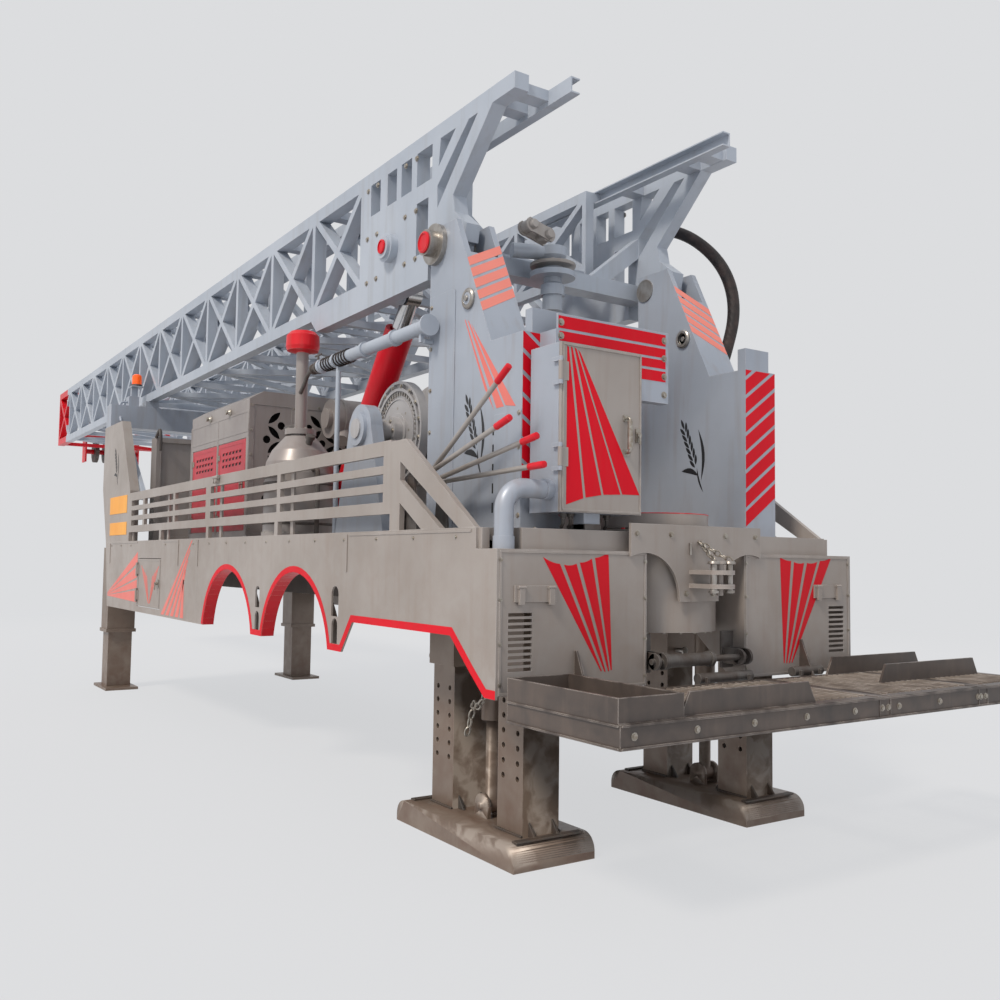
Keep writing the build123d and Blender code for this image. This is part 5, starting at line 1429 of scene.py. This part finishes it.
# Platform: grating bars, dark hinge tubes, weld seams and bracket bolts
places, mesh = [], bmesh.new()
for near, far in ((-1190, 323), (403, 1140), (1220, 1740)):
    count = int((far - near) / 46)
    places += [((468, near + (k + 0.5) * (far - near) / count, 849.5), (0, 0, 1)) for k in range(count)]
bakeTree("gratingBars", pointMesh("barPlaces", places), trees["slats"],
         {"Long": 0.62, "Wide": 0.009, "Thick": 0.010, "Tilt": 0.0}, "gratingPaint", "rig")
for y0, y1 in ((-60, 330), (660, 900)):
    addRod(mesh, (58, y0, 872), (58, y1, 872), 27, 18)
    for y in (y0 + 40, y1 - 40):
        addBlock(mesh, (58, 100), (y - 9, y + 9), (852, 880))
addRod(mesh, (120, -760, 866), (700, -760, 866), 9, 10)
finishPiece("platformHinges", mesh, "castSteel", "rig", 1.5)
mesh = bmesh.new()
for s in (-1, 1):
    addBlock(mesh, (-188, -148), onSide(s, 1236, 1194), (1511, 1609))
    addBlock(mesh, (-1160, -1120), onSide(s, 1236, 1194), (1511, 1549))
finishPiece("trayPosts", mesh, "bodyPaint", "rig", 1.5)
mesh = bmesh.new()
for y in (323, 403, 1140, 1220):
    addBlock(mesh, (842.3, 845), (y - 4, y + 4), (754, 846))
    addBlock(mesh, (100, 836), (y - 4, y + 4), (850.3, 853))
for z in (753, 838):
    addBlock(mesh, (842.3, 850), (-1246, 1796), (z, z + 9))
    addBlock(mesh, (99, 838), (-1258, -1250.3), (z, z + 9))
finishPiece("platformFlanges", mesh, "darkPaint", "rig", 1.5)
bolts = [((842, y, 800), (1, 0, 0)) for y in range(-1180, 1790, 330)]
bolts += [((842, y + d, 800), (1, 0, 0)) for y in (363, 1180) for d in (-22, 22)]
boltDown("platformBolts", bolts, 11, "zincSteel", "rig")

# Swivel cluster on the mast's foot beam: union plates with their bolts and a ribbed flange
mesh = bmesh.new()
plates = {"ends": ((-415, 3424), (-300, 3384)), "radius": 46, "layers": ((-930, -914), (-1012, -996))}
for x0, x1 in plates["layers"]:
    outline = []
    for i in range(18):
        a = math.pi * 2 * i / 18
        end = plates["ends"][1 if math.cos(a - 0.34) > 0 else 0]
        outline.append((end[0] + plates["radius"] * math.cos(a), end[1] + plates["radius"] * math.sin(a)))
    addOutline(mesh, outline, "x", x0, x1)
for y, z in plates["ends"]:
    addRod(mesh, (-1026, y, z), (-905, y, z), 20, 16)
    addTurned(mesh, (-914, y, z), (-913, y, z), ((0.1, 0.2), (30, 0.2), (30, 12), (22, 24), (0.1, 26)), 16)
    addRod(mesh, (-996, y, z), (-930, y, z), 38, 20)
flange = ((60, 0), (138, 0), (142, 6), (142, 20), (128, 24), (128, 12), (60, 12))
addTurned(mesh, (-1110, -125, 3262), (-1110, -125, 3263), flange, 36)
for i in range(10):
    a = 2 * math.pi * i / 10
    u, v = math.cos(a), math.sin(a)
    addRod(mesh, (-1110 + 66 * u, -125 + 66 * v, 3280), (-1110 + 134 * u, -125 + 134 * v, 3280), 9, 8)
finishPiece("swivelUnion", mesh, "leverPaint", "mast", 1)

# Hose ends: crimped sleeves on both fittings
mesh = bmesh.new()
addTurned(mesh, (-2050, 1030, 2950), (-2050, 1030, 2951), ((41, 2), (50, 4), (50, 60), (47, 66), (50, 72), (50, 128),
                                                           (41, 134)), 20)
addTurned(mesh, (-950, 1040, 2160), (-950, 1040, 2161), ((41, 2), (50, 4), (50, 60), (47, 66), (50, 72), (50, 118),
                                                         (41, 124)), 20)
finishPiece("hoseSleeves", mesh, "zincSteel", "rig", 1)

# Towers: doubler plates, near-black slot marks as painted shade inside the slots, and bolts
mesh, slots, bolts = bmesh.new(), bmesh.new(), []
for s in (-1, 1):
    y = onSide(s, drawn["towerOut"] + 0.2, drawn["towerOut"] + 4)
    addOutline(mesh, ((-1212, 1614), (-930, 1614), (-930, 2950), (-960, 2962), (-1212, 2962)), "y", *y)
    addOutline(mesh, ((-522, 1614), (-282, 1614), (-282, 2204), (-522, 2204)), "y", *y)
    for k in range(5):
        z = 1700 + k * 100
        addBlock(slots, (-540, -528), onSide(s, drawn["towerOut"] + 0.2, drawn["towerOut"] + 1.2), (z, z + 52))
    bolts += [((-1190, s * 931, z), (0, s, 0)) for z in range(1700, 2950, 240)]
    bolts += [((-300, s * 931, z), (0, s, 0)) for z in range(1680, 2200, 170)]
finishPiece("towerDoublers", mesh, "towerPaint", "rig", 1.5)
bosses = bmesh.new()
for s in (-1, 1):
    for face, way, rise in ((drawn["towerOut"], s, 16), (drawn["towerIn"], -s, 0)):
        rim = ((36, 0.3), (58, 0.3), (58, 12), (50, 18), (36, 18), (36, 0.3))
        x, z = drawn["towerBoss"]
        addTurned(bosses, (x, s * face, z), (x, s * face + way, z), rim, 28)
        addTurned(bosses, (x, s * face, z), (x, s * face + way, z),
                  ((0.1, rise + 0.3), (17, rise + 0.3), (17, rise + 11), (0.1, rise + 11)), 6)
finishPiece("towerBosses", bosses, "bareSteel", "rig", 1)
finishPiece("towerSlots", slots, "paintedShadeBlack", "rig")
boltDown("towerBolts", bolts, 10, "zincSteel", "rig")
bolts = []
for s in (-1, 1):
    for x in (-1560, -2230, -1700, -2090):
        bolts += [((x, s * 843, z), (0, s, 0)) for z in (3300, 3600, 3930)]
boltDown("mastBolts", bolts, 13, "zincSteel", "mast")
print("stage: platform, swivel and towers")
